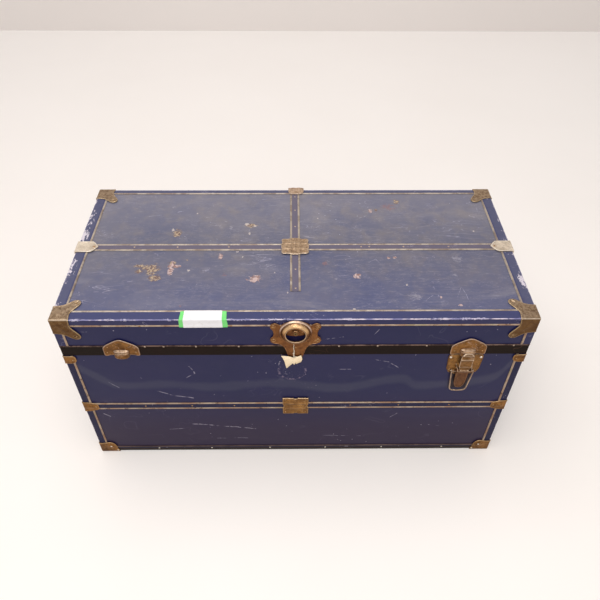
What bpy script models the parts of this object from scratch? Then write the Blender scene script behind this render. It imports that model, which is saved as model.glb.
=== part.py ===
"""Steamer trunk: a plywood box with a rear-hinged lid, fibre edge bindings and stamped brass hardware.

Modelled closed, +Z up. Lengths below are in millimetres; the meshes are built in metres. +X runs
along the trunk to its right-hand end, -Y is the front. The origin is the centre of the underside,
on the floor plane. Each object is one separate piece of the trunk.
"""
import math

import bmesh
import bpy
from mathutils import Matrix, Vector

MM = 0.001

# ---------------------------------------------------------------- overall sizes
WIDTH, DEPTH, HEIGHT = 914.0, 425.0, 450.0  # over the corner caps
PROUD = 3.5                                 # panel face to the outside of a cap
PANEL_X = WIDTH / 2 - PROUD                 # half width over the panels
PANEL_Y = DEPTH / 2 - PROUD                 # half depth over the panels
PANEL_TOP = HEIGHT - PROUD                  # top of the lid panel
PANEL_BOTTOM = PROUD                        # underside of the bottom panel
WALL = 8.0                                  # plywood thickness
INNER_X = PANEL_X - WALL                    # inner face of an end wall
INNER_Y = PANEL_Y - WALL                    # inner face of the front or back wall
SEAM = 347.5                                # height of the lid seam
GAP = 0.3                                   # clearance between pieces
LIP = 10.0                                  # height of the tongue that stands up inside the lid
TONGUE_PLAY = 0.2                           # tongue face to the middle of the wall
TONGUE = WALL / 2 - TONGUE_PLAY             # tongue thickness

# ---------------------------------------------------------------- bindings, strips and caps
BINDING_OUT = 1.3                           # outside of a fibre binding, from the panel
BEAD_OUT = 2.0                              # outside of its rolled metal edge
BEAD_WIDTH = 4.0
BEAD_BEVEL = 0.9                            # width of the bevel along each side of the rolled edge
BEAD_SHOULDER = 1.2                         # how far out that bevel starts
CHAMFER = 1.2                               # on the long edges of the top and bottom bindings
LEG = 17.0                                  # width of a binding leg
JOINT = 0.6                                 # gap between the ends of bindings and strips
CAP_IN, CAP_OUT = 2.3, PROUD                # inside and outside of a stamped cap
PLATE_OUT = 1.8                             # outside of a plate that lies on the bare panel
BAND_TOP = 376.0                            # top of the dark closing band round the lid
BELT_Z = 179.0                              # middle of the belt strips
STRIP_WIDTH = 21.0
TOP_LEG_X, TOP_LEG_FRONT, TOP_LEG_REAR = 24.0, 23.5, 15.5  # binding legs on the lid top

# ---------------------------------------------------------------- moving parts: "out" is from the panel
HINGE_X = 290.0                             # hinges are this far each side of the middle
HINGE_Y, HINGE_Z = PANEL_Y + 6.2, SEAM      # lid hinge axis
BOLT_X = 338.0                              # draw bolt and catches, from the middle
LEVER_OUT, LEVER_Z = 6.0, 312.0             # draw-bolt lever pivot
HOOK_RADIUS = 9.0                           # lever pivot to hook pivot
HOOK_ANGLE = math.radians(60.0)             # direction of the hook pivot, from straight down
HOOK_OUT = LEVER_OUT + HOOK_RADIUS * math.sin(HOOK_ANGLE)
HOOK_Z = LEVER_Z - HOOK_RADIUS * math.cos(HOOK_ANGLE)
BAIL_OUT, BAIL_Z = 5.5, 299.0               # bail pivot
LOCK_Z = 414.5                              # middle of the lock's ring
CYLINDER_Z = LOCK_Z + 1.0                   # middle of the lock cylinder
HANDLE_OUT, HANDLE_Z = 8.0, 268.0           # end handle pivot
STAY_CHEST = (95.0, -55.0)                  # stay pivot on the chest: forward, up from the hinge
STAY_LID = (103.0, 38.0)                    # stay pivot on the lid, likewise
TRAY_Z, TRAY_HEIGHT = 262.0, 74.0           # tray bottom and height

SIDES = (("left", -1), ("right", 1))
CORNERS = (("front_left", -1, -1), ("front_right", 1, -1), ("rear_left", -1, 1), ("rear_right", 1, 1))

# base colour, roughness, metallic
PALETTE = {
    "navy_fibre": ((0.030, 0.035, 0.115), 0.38, 0.0),
    "binding_fibre": ((0.028, 0.032, 0.095), 0.42, 0.0),
    "black_band": ((0.020, 0.014, 0.010), 0.45, 0.0),
    "brass": ((0.36, 0.22, 0.09), 0.38, 1.0),
    "pale_metal": ((0.62, 0.58, 0.50), 0.35, 1.0),
    "steel": ((0.42, 0.40, 0.37), 0.40, 1.0),
    "wood": ((0.42, 0.27, 0.15), 0.70, 0.0),
    "tray_board": ((0.55, 0.46, 0.33), 0.80, 0.0),
    "leather": ((0.13, 0.06, 0.03), 0.60, 0.0),
}


def give_material(obj, kind):
    colour, roughness, metallic = PALETTE[kind]
    material = bpy.data.materials.new(obj.name + "_" + kind)
    material.use_nodes = True
    shader = material.node_tree.nodes["Principled BSDF"]
    shader.inputs["Base Color"].default_value = (*colour, 1.0)
    shader.inputs["Roughness"].default_value = roughness
    shader.inputs["Metallic"].default_value = metallic
    material.diffuse_color = (*colour, 1.0)
    obj.data.materials.append(material)


# ---------------------------------------------------------------- outlines
def circle(centre_a, centre_b, radius, steps, start=0.0):
    angles = [start + 2 * math.pi * i / steps for i in range(steps)]
    return [(centre_a + radius * math.cos(t), centre_b + radius * math.sin(t)) for t in angles]


def arc(centre_a, centre_b, radius, start, end, steps):
    """Points of an arc between two angles in degrees, both ends included."""
    angles = [math.radians(start + (end - start) * i / steps) for i in range(steps + 1)]
    return [(centre_a + radius * math.cos(t), centre_b + radius * math.sin(t)) for t in angles]


def rectangle(a0, b0, a1, b1):
    return [(a0, b0), (a1, b0), (a1, b1), (a0, b1)]


def mirror(half):
    """A half outline or path and its mirror image. Points on the axis, first column 0, come once."""
    return half + [(-x, *rest) for x, *rest in reversed(half) if x != 0]


def shift(points, da, db=0.0):
    return [(a + da, b + db) for a, b in points]


def span(middle, side, near, far):
    """Two distances from the middle, on one side of it, as a rising pair."""
    return sorted((middle + side * near, middle + side * far))


def place(face, along, across, out):
    """Point (along, across) on one of the trunk's faces, standing out from the panel."""
    if face == "front":
        return (along, -(PANEL_Y + out), across)
    if face == "back":
        return (along, PANEL_Y + out, across)
    if face == "left":
        return (-(PANEL_X + out), along, across)
    if face == "right":
        return (PANEL_X + out, along, across)
    if face == "top":
        return (along, across, PANEL_TOP + out)
    return (along, across, PANEL_BOTTOM - out)


# ---------------------------------------------------------------- solids
def loft(name, kind, loops, closed=False, smooth=False):
    """Skin over loops of matching points. A closed one runs round to its start; an open one is capped."""
    shape = bmesh.new()
    rows = [[shape.verts.new(p) for p in loop] for loop in loops]
    for this, following in zip(rows, rows[1:] + rows[:1] if closed else rows[1:]):
        for i in range(len(this)):
            j = (i + 1) % len(this)
            shape.faces.new((this[i], this[j], following[j], following[i]))
    if not closed:
        shape.faces.new(rows[0])
        shape.faces.new(list(reversed(rows[-1])))
    bmesh.ops.remove_doubles(shape, verts=shape.verts, dist=1e-4)
    bmesh.ops.recalc_face_normals(shape, faces=shape.faces)
    if shape.calc_volume(signed=True) < 0:
        bmesh.ops.reverse_faces(shape, faces=shape.faces)
    bmesh.ops.scale(shape, vec=Vector((MM, MM, MM)), verts=shape.verts)
    mesh = bpy.data.meshes.new(name)
    shape.to_mesh(mesh)
    shape.free()
    obj = bpy.data.objects.new(name, mesh)
    bpy.context.scene.collection.objects.link(obj)
    if smooth:
        mesh.shade_smooth()
        mesh.set_sharp_from_angle(angle=math.radians(35))
    give_material(obj, kind)
    return obj


def face_prism(name, kind, face, outline, inside, outside, smooth=False):
    """A flat plate with this outline lying on a face, between two distances from it."""
    loops = [[place(face, a, b, out) for a, b in outline] for out in (inside, outside)]
    return loft(name, kind, loops, smooth=smooth)


def face_run(name, kind, face, section, start, end):
    """A section of (out, across) points drawn along a face."""
    loops = [[place(face, along, across, out) for out, across in section] for along in (start, end)]
    return loft(name, kind, loops)


def box(name, kind, low, high):
    outline = rectangle(low[0], low[1], high[0], high[1])
    return loft(name, kind, [[(x, y, z) for x, y in outline] for z in (low[2], high[2])])


def along_x(name, kind, section, x0, x1, smooth=False):
    """A section of (y, z) points drawn out along X."""
    return loft(name, kind, [[(x, y, z) for y, z in section] for x in (x0, x1)], smooth=smooth)


def rod_x(name, kind, x0, x1, y, z, radius, steps=12):
    return along_x(name, kind, circle(y, z, radius, steps, math.pi / steps), x0, x1, True)


def ring(name, kind, profile, rear=None):
    """A frame round the trunk with mitred corners. The profile is (out from the x faces, out from
    the y faces, z) points; rear is the profile of the rear corners, where it differs."""
    loops = []
    for side_x, side_y in ((-1, -1), (1, -1), (1, 1), (-1, 1)):
        corner = rear if rear and side_y > 0 else profile
        loops.append([(side_x * (PANEL_X + out_x), side_y * (PANEL_Y + out_y), z)
                      for out_x, out_y, z in corner])
    return loft(name, kind, loops, closed=True)


def even(profile):
    """Ring profile from (out, z) points, alike on the x and y faces."""
    return [(out, out, z) for out, z in profile]


def lathe_front(name, kind, profile, x, z, steps):
    """A ring turned about an axis along Y. The profile is a loop of (radius, out from the front)."""
    loops = []
    for i in range(steps):
        t = 2 * math.pi * i / steps
        loops.append([(x + radius * math.cos(t), -(PANEL_Y + out), z + radius * math.sin(t))
                      for radius, out in profile])
    return loft(name, kind, loops, closed=True, smooth=True)


def tube(name, kind, path, radii, steps):
    """A round bar along a path of points, with a radius at each, closed at both ends."""
    points = [Vector(p) for p in path]
    loops = []
    up = None
    for i, point in enumerate(points):
        before = (point - points[i - 1]).normalized() if i else None
        after = (points[i + 1] - point).normalized() if i + 1 < len(points) else None
        inner = before is not None and after is not None
        tangent = (before + after).normalized() if inner else (before or after)
        if up is None:
            up = tangent.orthogonal().normalized()
        else:
            up = (up - tangent * up.dot(tangent)).normalized()
        side = tangent.cross(up)
        # the mitre section is stretched across the bend, so the bar keeps its thickness
        bend = (after - before) if inner else Vector((0, 0, 0))
        stretch = 1.0 / max(0.5, math.cos(before.angle(after) / 2)) if inner else 1.0
        loop = []
        for k in range(steps):
            t = 2 * math.pi * k / steps
            offset = (up * math.cos(t) + side * math.sin(t)) * radii[i]
            if bend.length > 1e-6:
                direction = bend.normalized()
                offset += direction * (offset.dot(direction) * (stretch - 1.0))
            loop.append(point + offset)
        loops.append(loop)
    return loft(name, kind, loops, smooth=True)


def combine(obj, other, operation, solver="EXACT"):
    """Boolean, applied, and the second object removed."""
    modifier = obj.modifiers.new("cut", "BOOLEAN")
    modifier.operation = operation
    modifier.solver = solver
    modifier.object = other
    bpy.context.view_layer.update()
    graph = bpy.context.evaluated_depsgraph_get()
    mesh = bpy.data.meshes.new_from_object(obj.evaluated_get(graph))
    obj.modifiers.clear()
    obj.data = mesh
    bpy.data.objects.remove(other, do_unlink=True)
    shape = bmesh.new()
    shape.from_mesh(mesh)
    bmesh.ops.remove_doubles(shape, verts=shape.verts, dist=1e-6)
    bmesh.ops.dissolve_limit(shape, angle_limit=math.radians(0.05), verts=shape.verts, edges=shape.edges)
    shape.to_mesh(mesh)
    shape.free()


def union(obj, *others, solver="EXACT"):
    for other in others:
        combine(obj, other, "UNION", solver)
    return obj


def cut(obj, other):
    combine(obj, other, "DIFFERENCE")


def hang(obj, pivot):
    """Moves an object's origin to the pivot, leaving its shape where it is."""
    origin = Vector(pivot) * MM
    obj.data.transform(Matrix.Translation(-origin))
    obj.location = origin


# ---------------------------------------------------------------- shared parts
# fibre strip with a rolled metal edge each side: (out, across)
HALF_STRIP = STRIP_WIDTH / 2
STRIP_SECTION = [
    (GAP, -HALF_STRIP), (GAP, HALF_STRIP),
    (BEAD_SHOULDER, HALF_STRIP), (BEAD_OUT, HALF_STRIP - BEAD_BEVEL),
    (BEAD_OUT, HALF_STRIP - BEAD_WIDTH + BEAD_BEVEL), (BINDING_OUT, HALF_STRIP - BEAD_WIDTH),
    (BINDING_OUT, -HALF_STRIP + BEAD_WIDTH), (BEAD_OUT, -HALF_STRIP + BEAD_WIDTH - BEAD_BEVEL),
    (BEAD_OUT, -HALF_STRIP + BEAD_BEVEL), (BEAD_SHOULDER, -HALF_STRIP),
]


def upright(name, side_x, side_y, z0, z1, stand_off=0.0):
    """Binding on one upright edge. One that stands off the panels has a square outer corner."""
    # one leg, from the inner corner outwards: (back along the face, out); the other mirrors it
    leg = [(GAP, -LEG), (BEAD_SHOULDER, -LEG), (BEAD_OUT, -LEG + BEAD_BEVEL),
           (BEAD_OUT, -LEG + BEAD_WIDTH - BEAD_BEVEL), (BINDING_OUT, -LEG + BEAD_WIDTH)]
    if stand_off:
        corner = [(BINDING_OUT, BINDING_OUT)]
    else:
        corner = [(BINDING_OUT, 0.2), (BINDING_OUT - 0.32, BINDING_OUT - 0.32), (0.2, BINDING_OUT)]
    other_leg = [(y, x) for x, y in reversed(leg)]
    section = [(side_x * (PANEL_X + x + stand_off), side_y * (PANEL_Y + y + stand_off))
               for x, y in [(GAP, GAP)] + leg + corner + other_leg]
    return loft(name, "binding_fibre", [[(x, y, z) for x, y in section] for z in (z0, z1)])


def edge_cap(name, side_x, side_y, outline):
    """Stamped cap round an upright edge. The outline of a wing is (in from the edge, z) points."""
    wing = face_prism(name, "brass", "front" if side_y < 0 else "back",
                      [(side_x * (WIDTH / 2 - a), z) for a, z in outline], CAP_IN, CAP_OUT)
    end_wing = face_prism(name + "_x", "brass", "left" if side_x < 0 else "right",
                          [(side_y * (DEPTH / 2 - a), z) for a, z in outline], CAP_IN, CAP_OUT)
    return union(wing, end_wing)


def corner_cap(name, side_x, side_y, face, outline):
    """Stamped cap over a corner of the top or bottom face. The outline of a wing is (along, away)
    distances from the corner."""
    if face == "top":
        upright_outline = [(a, HEIGHT - b) for a, b in outline]
    else:
        upright_outline = outline
    cap = edge_cap(name, side_x, side_y, upright_outline)
    flat = [(side_x * (WIDTH / 2 - a), side_y * (DEPTH / 2 - b)) for a, b in outline]
    union(cap, face_prism(name + "_z", "brass", face, flat, CAP_IN, CAP_OUT))


def pressed_rib(face, middle, half, taper, foot, crown):
    """Rib that narrows from foot to crown. half is its half size, taper the ratio of its crown."""
    loops = []
    for (ka, kb), out in (((1.0, 1.0), foot), (taper, crown)):
        a, b = half[0] * ka, half[1] * kb
        outline = shift(rectangle(-a, -b, a, b), *middle)
        loops.append([place(face, along, across, out) for along, across in outline])
    return loft("rib", "brass", loops)


# ================================================================ chest
def wall_panel(name, face, half):
    """One wall of the chest. Its inner half stands up as a tongue inside the lid."""
    section = [(0.0, PANEL_BOTTOM), (0.0, SEAM - GAP), (-WALL + TONGUE, SEAM - GAP),
               (-WALL + TONGUE, SEAM + LIP - 1.5), (-WALL + TONGUE - 1.0, SEAM + LIP),
               (-WALL, SEAM + LIP), (-WALL, PANEL_BOTTOM)]
    return face_run(name, "navy_fibre", face, section, -half, half)


def chest_panels():
    """Four walls, the bottom and the slat under it. Returns the right-hand wall."""
    overrun = 5.0
    for face, side_y in (("front", -1), ("back", 1)):
        panel = wall_panel(f"body_{face}_panel", face, PANEL_X)
        # the tongue stops short of the lid's end walls
        y0, y1 = span(0, side_y, INNER_Y - overrun, PANEL_Y + overrun)
        for side_x in (-1, 1):
            x0, x1 = span(0, side_x, PANEL_X - WALL / 2 - TONGUE_PLAY, PANEL_X + overrun)
            cut(panel, box("notch", "navy_fibre", (x0, y0, SEAM - GAP), (x1, y1, SEAM + LIP + overrun)))
    wall_panel("body_left_panel", "left", INNER_Y - GAP)
    right_wall = wall_panel("body_right_panel", "right", INNER_Y - GAP)

    half_x, half_y = INNER_X - GAP, INNER_Y - GAP
    box("body_bottom_panel", "navy_fibre",
        (-half_x, -half_y, PANEL_BOTTOM), (half_x, half_y, PANEL_BOTTOM + WALL))
    slat_x, slat_y = PANEL_X - 70, 24.0
    box("bottom_slat", "wood", (-slat_x, -slat_y, 0.0), (slat_x, slat_y, PANEL_BOTTOM - GAP))
    return right_wall


def chest_bindings():
    for label, side_x, side_y in CORNERS:
        upright("edge_binding_" + label, side_x, side_y, PANEL_BOTTOM + LEG + JOINT, SEAM - JOINT)

    leg_top = PANEL_BOTTOM + LEG
    under = PANEL_BOTTOM - BINDING_OUT
    ring("bottom_edge_binding", "binding_fibre", even([
        (GAP, leg_top), (GAP, PANEL_BOTTOM - GAP), (-LEG, PANEL_BOTTOM - GAP), (-LEG, under),
        (BINDING_OUT - CHAMFER, under), (BINDING_OUT, under + CHAMFER),
        (BINDING_OUT, leg_top - BEAD_WIDTH), (BEAD_OUT, leg_top - BEAD_WIDTH + BEAD_BEVEL),
        (BEAD_OUT, leg_top - BEAD_BEVEL), (BEAD_SHOULDER, leg_top)]))

    belt_section = shift(STRIP_SECTION, 0.0, BELT_Z)
    for face, panel in (("front", PANEL_X), ("back", PANEL_X), ("left", PANEL_Y), ("right", PANEL_Y)):
        half = panel - LEG - JOINT
        face_run("belt_strip_" + face, "binding_fibre", face, belt_section, -half, half)


def belt_plate():
    """Notched square plate over the middle of the front belt, with two pressed ribs."""
    # right half: x, z from the middle
    half = [(2.5, -25.8), (4.0, -27.5), (27.5, -27.5), (27.5, -4.0), (25.8, -2.5),
            (25.8, 2.5), (27.5, 4.0), (27.5, 27.5), (4.0, 27.5), (2.5, 25.8)]
    plate = face_prism("belt_plate", "brass", "front", shift(mirror(half), 0.0, BELT_Z), CAP_IN, CAP_OUT)
    for dz in (-8.5, 8.5):
        union(plate, pressed_rib("front", middle=(0.0, BELT_Z + dz), half=(24.0, 2.6),
                                 taper=(0.97, 0.45), foot=3.0, crown=4.5))


def chest_caps():
    # belt clip: in from the edge, z from the middle of the belt
    clip = [(0, -15.5), (16, -15.5), (22, -13.0), (31, -11.0), (33.5, -6.0),
            (33.5, 6.0), (31, 11.0), (22, 13.0), (16, 15.5), (0, 15.5)]
    # bottom corner: along and away from the corner
    toe = [(0, 0), (46, 0), (46, 6), (42, 13), (41, 24), (37, 33.5), (30, 39), (22, 39.5),
           (15, 36.5), (0, 36.5)]
    # cap under the seam: in from the edge, z from its top
    rim_cap = [(0, -22), (19, -22), (24, -17), (25.5, -10), (24, -2), (21, 0), (0, 0)]
    for label, side_x, side_y in CORNERS:
        edge_cap("belt_clip_" + label, side_x, side_y, shift(clip, 0, BELT_Z))
        corner_cap("bottom_corner_" + label, side_x, side_y, "bottom", toe)
    for label, side_x in SIDES:
        edge_cap("rim_cap_front_" + label, side_x, -1, shift(rim_cap, 0, SEAM - GAP))


# ================================================================ lid
def lid_panels():
    """Lid frame, rebated over the tongue, and the top panel. Returns the frame."""
    rebate = -WALL + TONGUE + 0.5
    rebate_top = SEAM + LIP + 1.5
    frame_top = PANEL_TOP - WALL - GAP
    frame = ring("lid_rim", "navy_fibre", even([
        (0.0, SEAM + GAP), (0.0, frame_top), (-WALL, frame_top), (-WALL, rebate_top),
        (rebate, rebate_top), (rebate, SEAM + GAP)]))
    box("lid_top_panel", "navy_fibre",
        (-PANEL_X, -PANEL_Y, PANEL_TOP - WALL), (PANEL_X, PANEL_Y, PANEL_TOP))
    return frame


def lid_binding_profile(leg_x, leg_y):
    """Ring profile of the top binding, with these legs on the lid top."""
    def on_top(inset, out):
        return (-leg_x + inset, -leg_y + inset, PANEL_TOP + out)

    leg_end = PANEL_TOP - LEG
    side = even([(BINDING_OUT - CHAMFER, PANEL_TOP + BINDING_OUT),
                 (BINDING_OUT, PANEL_TOP + BINDING_OUT - CHAMFER),
                 (BINDING_OUT, leg_end + BEAD_WIDTH), (BEAD_OUT, leg_end + BEAD_WIDTH - BEAD_BEVEL),
                 (BEAD_OUT, leg_end + BEAD_BEVEL), (BEAD_SHOULDER, leg_end)])
    return even([(GAP, leg_end), (GAP, PANEL_TOP + GAP)]) + [
        on_top(0.0, GAP), on_top(0.0, BEAD_SHOULDER), on_top(BEAD_BEVEL, BEAD_OUT),
        on_top(BEAD_WIDTH - BEAD_BEVEL, BEAD_OUT), on_top(BEAD_WIDTH, BINDING_OUT)] + side


def lid_bindings():
    """Binding round the lid's top edge, with a post down each corner to the closing band."""
    binding = ring("lid_edge_binding", "binding_fibre",
                   lid_binding_profile(TOP_LEG_X, TOP_LEG_FRONT),
                   lid_binding_profile(TOP_LEG_X, TOP_LEG_REAR))
    post_top = PANEL_TOP - LEG + 2.4
    for _, side_x, side_y in CORNERS:
        post = upright("post", side_x, side_y, BAND_TOP + JOINT, post_top, stand_off=0.22)
        union(binding, post, solver="MANIFOLD")

    band_bottom = SEAM + 0.7
    ring("lid_closing_band", "black_band", even([
        (GAP, band_bottom), (GAP, BAND_TOP), (1.3, BAND_TOP), (1.9, BAND_TOP - 0.8),
        (1.9, BAND_TOP - 2.2), (1.4, BAND_TOP - 3.0), (1.4, band_bottom)]))


def lid_strips():
    half = PANEL_X - TOP_LEG_X - JOINT
    face_run("lid_long_strip", "binding_fibre", "top", STRIP_SECTION, -half, half)

    # the cross strip steps up over the long strip, where its section is flattened: y, lift
    stations = [(-134.0, 0.0), (-15.5, 0.0), (-12.5, 2.0), (12.5, 2.0), (15.5, 0.0),
                (PANEL_Y - TOP_LEG_REAR - JOINT, 0.0)]
    flattened = 0.9
    loops = [[place("top", x, y, (min(out, flattened) if lift else out) + lift)
              for out, x in STRIP_SECTION] for y, lift in stations]
    loft("lid_cross_strip", "binding_fibre", loops)


def lid_cross_plate():
    """Lobed plate where the strips cross, with two pressed ribs each way."""
    # right half: x, y
    half = [(8, -27), (15, -23.5), (25, -25), (29, -20), (27, -12), (29, -6),
            (29, 6), (27, 12), (29, 20), (25, 25), (15, 23.5), (8, 27)]
    plate = face_prism("lid_cross_plate", "brass", "top", mirror(half), 3.3, 4.4)
    for y in (-8.5, 8.5):
        union(plate, pressed_rib("top", middle=(0.0, y), half=(26.0, 2.4), taper=(0.97, 0.45),
                                 foot=4.0, crown=5.2))
    for x in (-8.5, 8.5):
        union(plate, pressed_rib("top", middle=(x, 0.0), half=(2.4, 26.0 * 0.93), taper=(0.45, 0.97),
                                 foot=4.0, crown=5.2))


def lid_clamps():
    """Clamps over the ends of the long strip, and a clip over the rear edge."""
    # in from the end, y; the leg down the end is shortened
    clamp = [(0, -17), (32, -17), (38, -12), (46, 0), (38, 12), (32, 17), (0, 17)]
    leg_ratio = 0.8
    for label, side_x in SIDES:
        top = face_prism("lid_end_clamp_" + label, "pale_metal", "top",
                         [(side_x * (WIDTH / 2 - a), y) for a, y in clamp], CAP_IN, CAP_OUT)
        union(top, face_prism("leg", "pale_metal", label,
                              [(y, HEIGHT - a * leg_ratio) for a, y in clamp], CAP_IN, CAP_OUT))

    # x, in from the rear edge
    clip = [(-15, 0), (21, 0), (21, 13), (15, 20.5), (-9, 22), (-15, 12)]
    top = face_prism("lid_rear_clip", "brass", "top",
                     [(x, DEPTH / 2 - a) for x, a in clip], CAP_IN, CAP_OUT)
    union(top, face_prism("leg", "brass", "back", [(x, HEIGHT - a) for x, a in clip], CAP_IN, CAP_OUT))


def lid_corners():
    """Corner caps of three wings, each with a lobe."""
    # along and away from the corner
    wing = [(0, 0), (38, 0), (38, 5), (36.8, 12), (36.5, 19), (41, 27), (46.5, 34.5), (51, 42),
            (51.5, 48), (48, 53), (41.5, 54.5), (35, 51.5), (27, 45), (20, 40.5), (12, 39.2), (0, 39.2)]
    for label, side_x, side_y in CORNERS:
        corner_cap("lid_corner_" + label, side_x, side_y, "top", wing)


def draw_bolt_catches():
    # right half of the plate: x from its middle, z
    half = [(33.0, 352.5), (34.5, 354.5), (34.5, 374.5), (33.0, 377.5), (9.0, 391.5), (0.0, 394.5)]
    # section of the hump: out, z
    hump_section = [(2.6, 373.0), (5.8, 371.5), (8.4, 367.5), (9.8, 361.0), (10.0, 353.0),
                    (9.6, 346.0), (8.0, 344.5), (7.4, 346.0), (6.4, 350.0), (2.6, 353.5)]
    hump_half = 15
    for label, side_x in SIDES:
        middle = side_x * BOLT_X
        plate = face_prism("draw_bolt_catch_" + label, "brass", "front",
                           shift(mirror(half), middle), CAP_IN, CAP_OUT)
        union(plate, face_run("hump", "brass", "front", hump_section,
                              middle - hump_half, middle + hump_half))


def lock_plate():
    """Lobed plate with a raised ring, a sunk web inside it and a boss round the cylinder."""
    # right half of the plate: x, z
    half = [(0.0, 338.0), (9.0, 338.5), (13.0, 341.5), (15.8, 351.0), (18.5, 362.0), (21.5, 371.0),
            (27.0, 378.0), (34.0, 382.0), (40.0, 382.5), (46.0, 385.5), (49.0, 392.0), (47.5, 398.5),
            (42.8, 403.5), (41.5, 411.5), (43.0, 419.5), (47.0, 425.0), (48.2, 431.0), (45.5, 437.0),
            (39.5, 439.8), (33.0, 437.0), (28.0, 432.0), (24.0, 437.5), (14.0, 442.8), (0.0, 444.8)]
    lock = face_prism("lock_plate", "brass", "front", mirror(half), CAP_IN, CAP_OUT)
    # radius, out
    ring_profile = [(31.0, 2.55), (31.0, 4.3), (30.2, 5.1), (29.0, 4.6), (27.8, 4.9), (25.8, 7.6),
                    (23.2, 10.4), (20.8, 12.0), (19.6, 12.2), (19.0, 11.5), (19.5, 10.8),
                    (20.6, 10.7), (22.4, 9.2), (24.8, 6.4), (26.7, 3.7), (26.9, 2.55)]
    union(lock, lathe_front("lock_ring", "brass", ring_profile, 0.0, LOCK_Z, 32))
    cut(lock, face_prism("hole", "brass", "front", circle(0.0, LOCK_Z, 26.2, 32), -2.0, 3.9))

    # the web is round above and open at the bottom of the ring
    web = arc(0.0, LOCK_Z, 27.3, -14.0, 194.0, 20)
    web += shift([(-18.0, -7.0), (-7.0, -9.0), (7.0, -9.0), (18.0, -7.0)], 0.0, LOCK_Z)
    union(lock, face_prism("web", "brass", "front", web, 2.6, 4.1))
    bore = 4.4
    boss_profile = [(bore, 3.6), (7.4, 3.6), (7.0, 7.4), (6.2, 8.2), (bore, 8.2)]
    boss = lathe_front("boss", "brass", boss_profile, 0.0, CYLINDER_Z, 16)
    cut(lock, face_prism("bore", "brass", "front", circle(0.0, CYLINDER_Z, bore, 16), 2.0, 9.0))
    union(lock, boss)


def lock_cylinder():
    plug = face_prism("lock_cylinder", "brass", "front", circle(0.0, CYLINDER_Z, 4.0, 16), 2.8, 8.8, True)
    keyway = rectangle(-0.7, LOCK_Z - 1.4, 0.7, LOCK_Z + 3.2)
    cut(plug, face_prism("keyway", "brass", "front", keyway, 4.5, 10.0))
    hang(plug, (0, -(PANEL_Y + 6.0), CYLINDER_Z))


# ================================================================ draw bolt, on the right of the front
def draw_bolt_base():
    """Plate with a lug and a pivot stub each side of the lever."""
    # right half: x from the bolt's middle, z
    half = [(31, 346.8), (34.5, 342.0), (34.5, 332.0), (33.0, 303.0), (28.0, 292.5), (12.0, 285.0)]
    base = face_prism("draw_bolt_base", "brass", "front", shift(mirror(half), BOLT_X), GAP, PLATE_OUT)
    # out, z
    lug = [(1.2, LEVER_Z - 6.5), (4.0, LEVER_Z - 4.0), (LEVER_OUT + 1.5, LEVER_Z - 3.4),
           (LEVER_OUT + 3.6, LEVER_Z), (LEVER_OUT + 1.5, LEVER_Z + 3.4), (4.0, LEVER_Z + 4.2),
           (1.2, LEVER_Z + 7.0)]
    for side in (-1, 1):
        union(base, face_run("lug", "brass", "front", lug, *span(BOLT_X, side, 15.2, 16.8)))
        union(base, rod_x("stub", "brass", *span(BOLT_X, side, 12.9, 15.6),
                          -(PANEL_Y + LEVER_OUT), LEVER_Z, 1.8))


def draw_bolt_lever():
    """Tongue with a cheek each side. The hook's pin joins the cheeks; the bail swings in their holes."""
    # right half of the tongue: x from the bolt's middle, z
    half = [(14.8, LEVER_Z - 7.0), (14.8, LEVER_Z - 12.0), (13.0, LEVER_Z - 18.5), (12.5, 285.0),
            (11.6, 264.0), (9.5, 254.0), (5.5, 248.2), (0.0, 246.3)]
    lever = face_prism("draw_bolt_lever", "brass", "front", shift(mirror(half), BOLT_X),
                       LEVER_OUT - 2.0, LEVER_OUT + 0.2)
    # out, z
    cheek = [(LEVER_OUT - 2.6, LEVER_Z + 2.2), (LEVER_OUT, LEVER_Z + 3.4),
             (LEVER_OUT + 3.0, LEVER_Z + 2.4), (HOOK_OUT + 2.0, HOOK_Z + 2.2),
             (HOOK_OUT + 2.6, HOOK_Z - 0.5), (HOOK_OUT + 1.0, HOOK_Z - 2.8),
             (LEVER_OUT + 3.5, LEVER_Z - 9.5), (BAIL_OUT + 3.0, BAIL_Z - 2.0),
             (BAIL_OUT + 1.5, BAIL_Z - 5.0), (BAIL_OUT - 2.5, BAIL_Z - 5.0),
             (LEVER_OUT - 3.2, LEVER_Z - 9.0), (LEVER_OUT - 3.4, LEVER_Z - 1.0)]
    pivot = (-(PANEL_Y + LEVER_OUT), LEVER_Z)
    for side in (-1, 1):
        part = face_run("cheek", "brass", "front", cheek, *span(BOLT_X, side, 13.2, 14.8))
        cut(part, rod_x("hole", "brass", *span(BOLT_X, side, 12.0, 16.0), *pivot, 2.15))
        union(lever, part)
    union(lever, rod_x("hook_pin", "brass", BOLT_X - 14.0, BOLT_X + 14.0,
                       -(PANEL_Y + HOOK_OUT), HOOK_Z, 1.6))
    for side in (-1, 1):
        cut(lever, rod_x("bail_hole", "brass", *span(BOLT_X, side, 12.8, 16.0),
                         -(PANEL_Y + BAIL_OUT), BAIL_Z, 1.85))
    hang(lever, (BOLT_X, *pivot))


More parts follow.
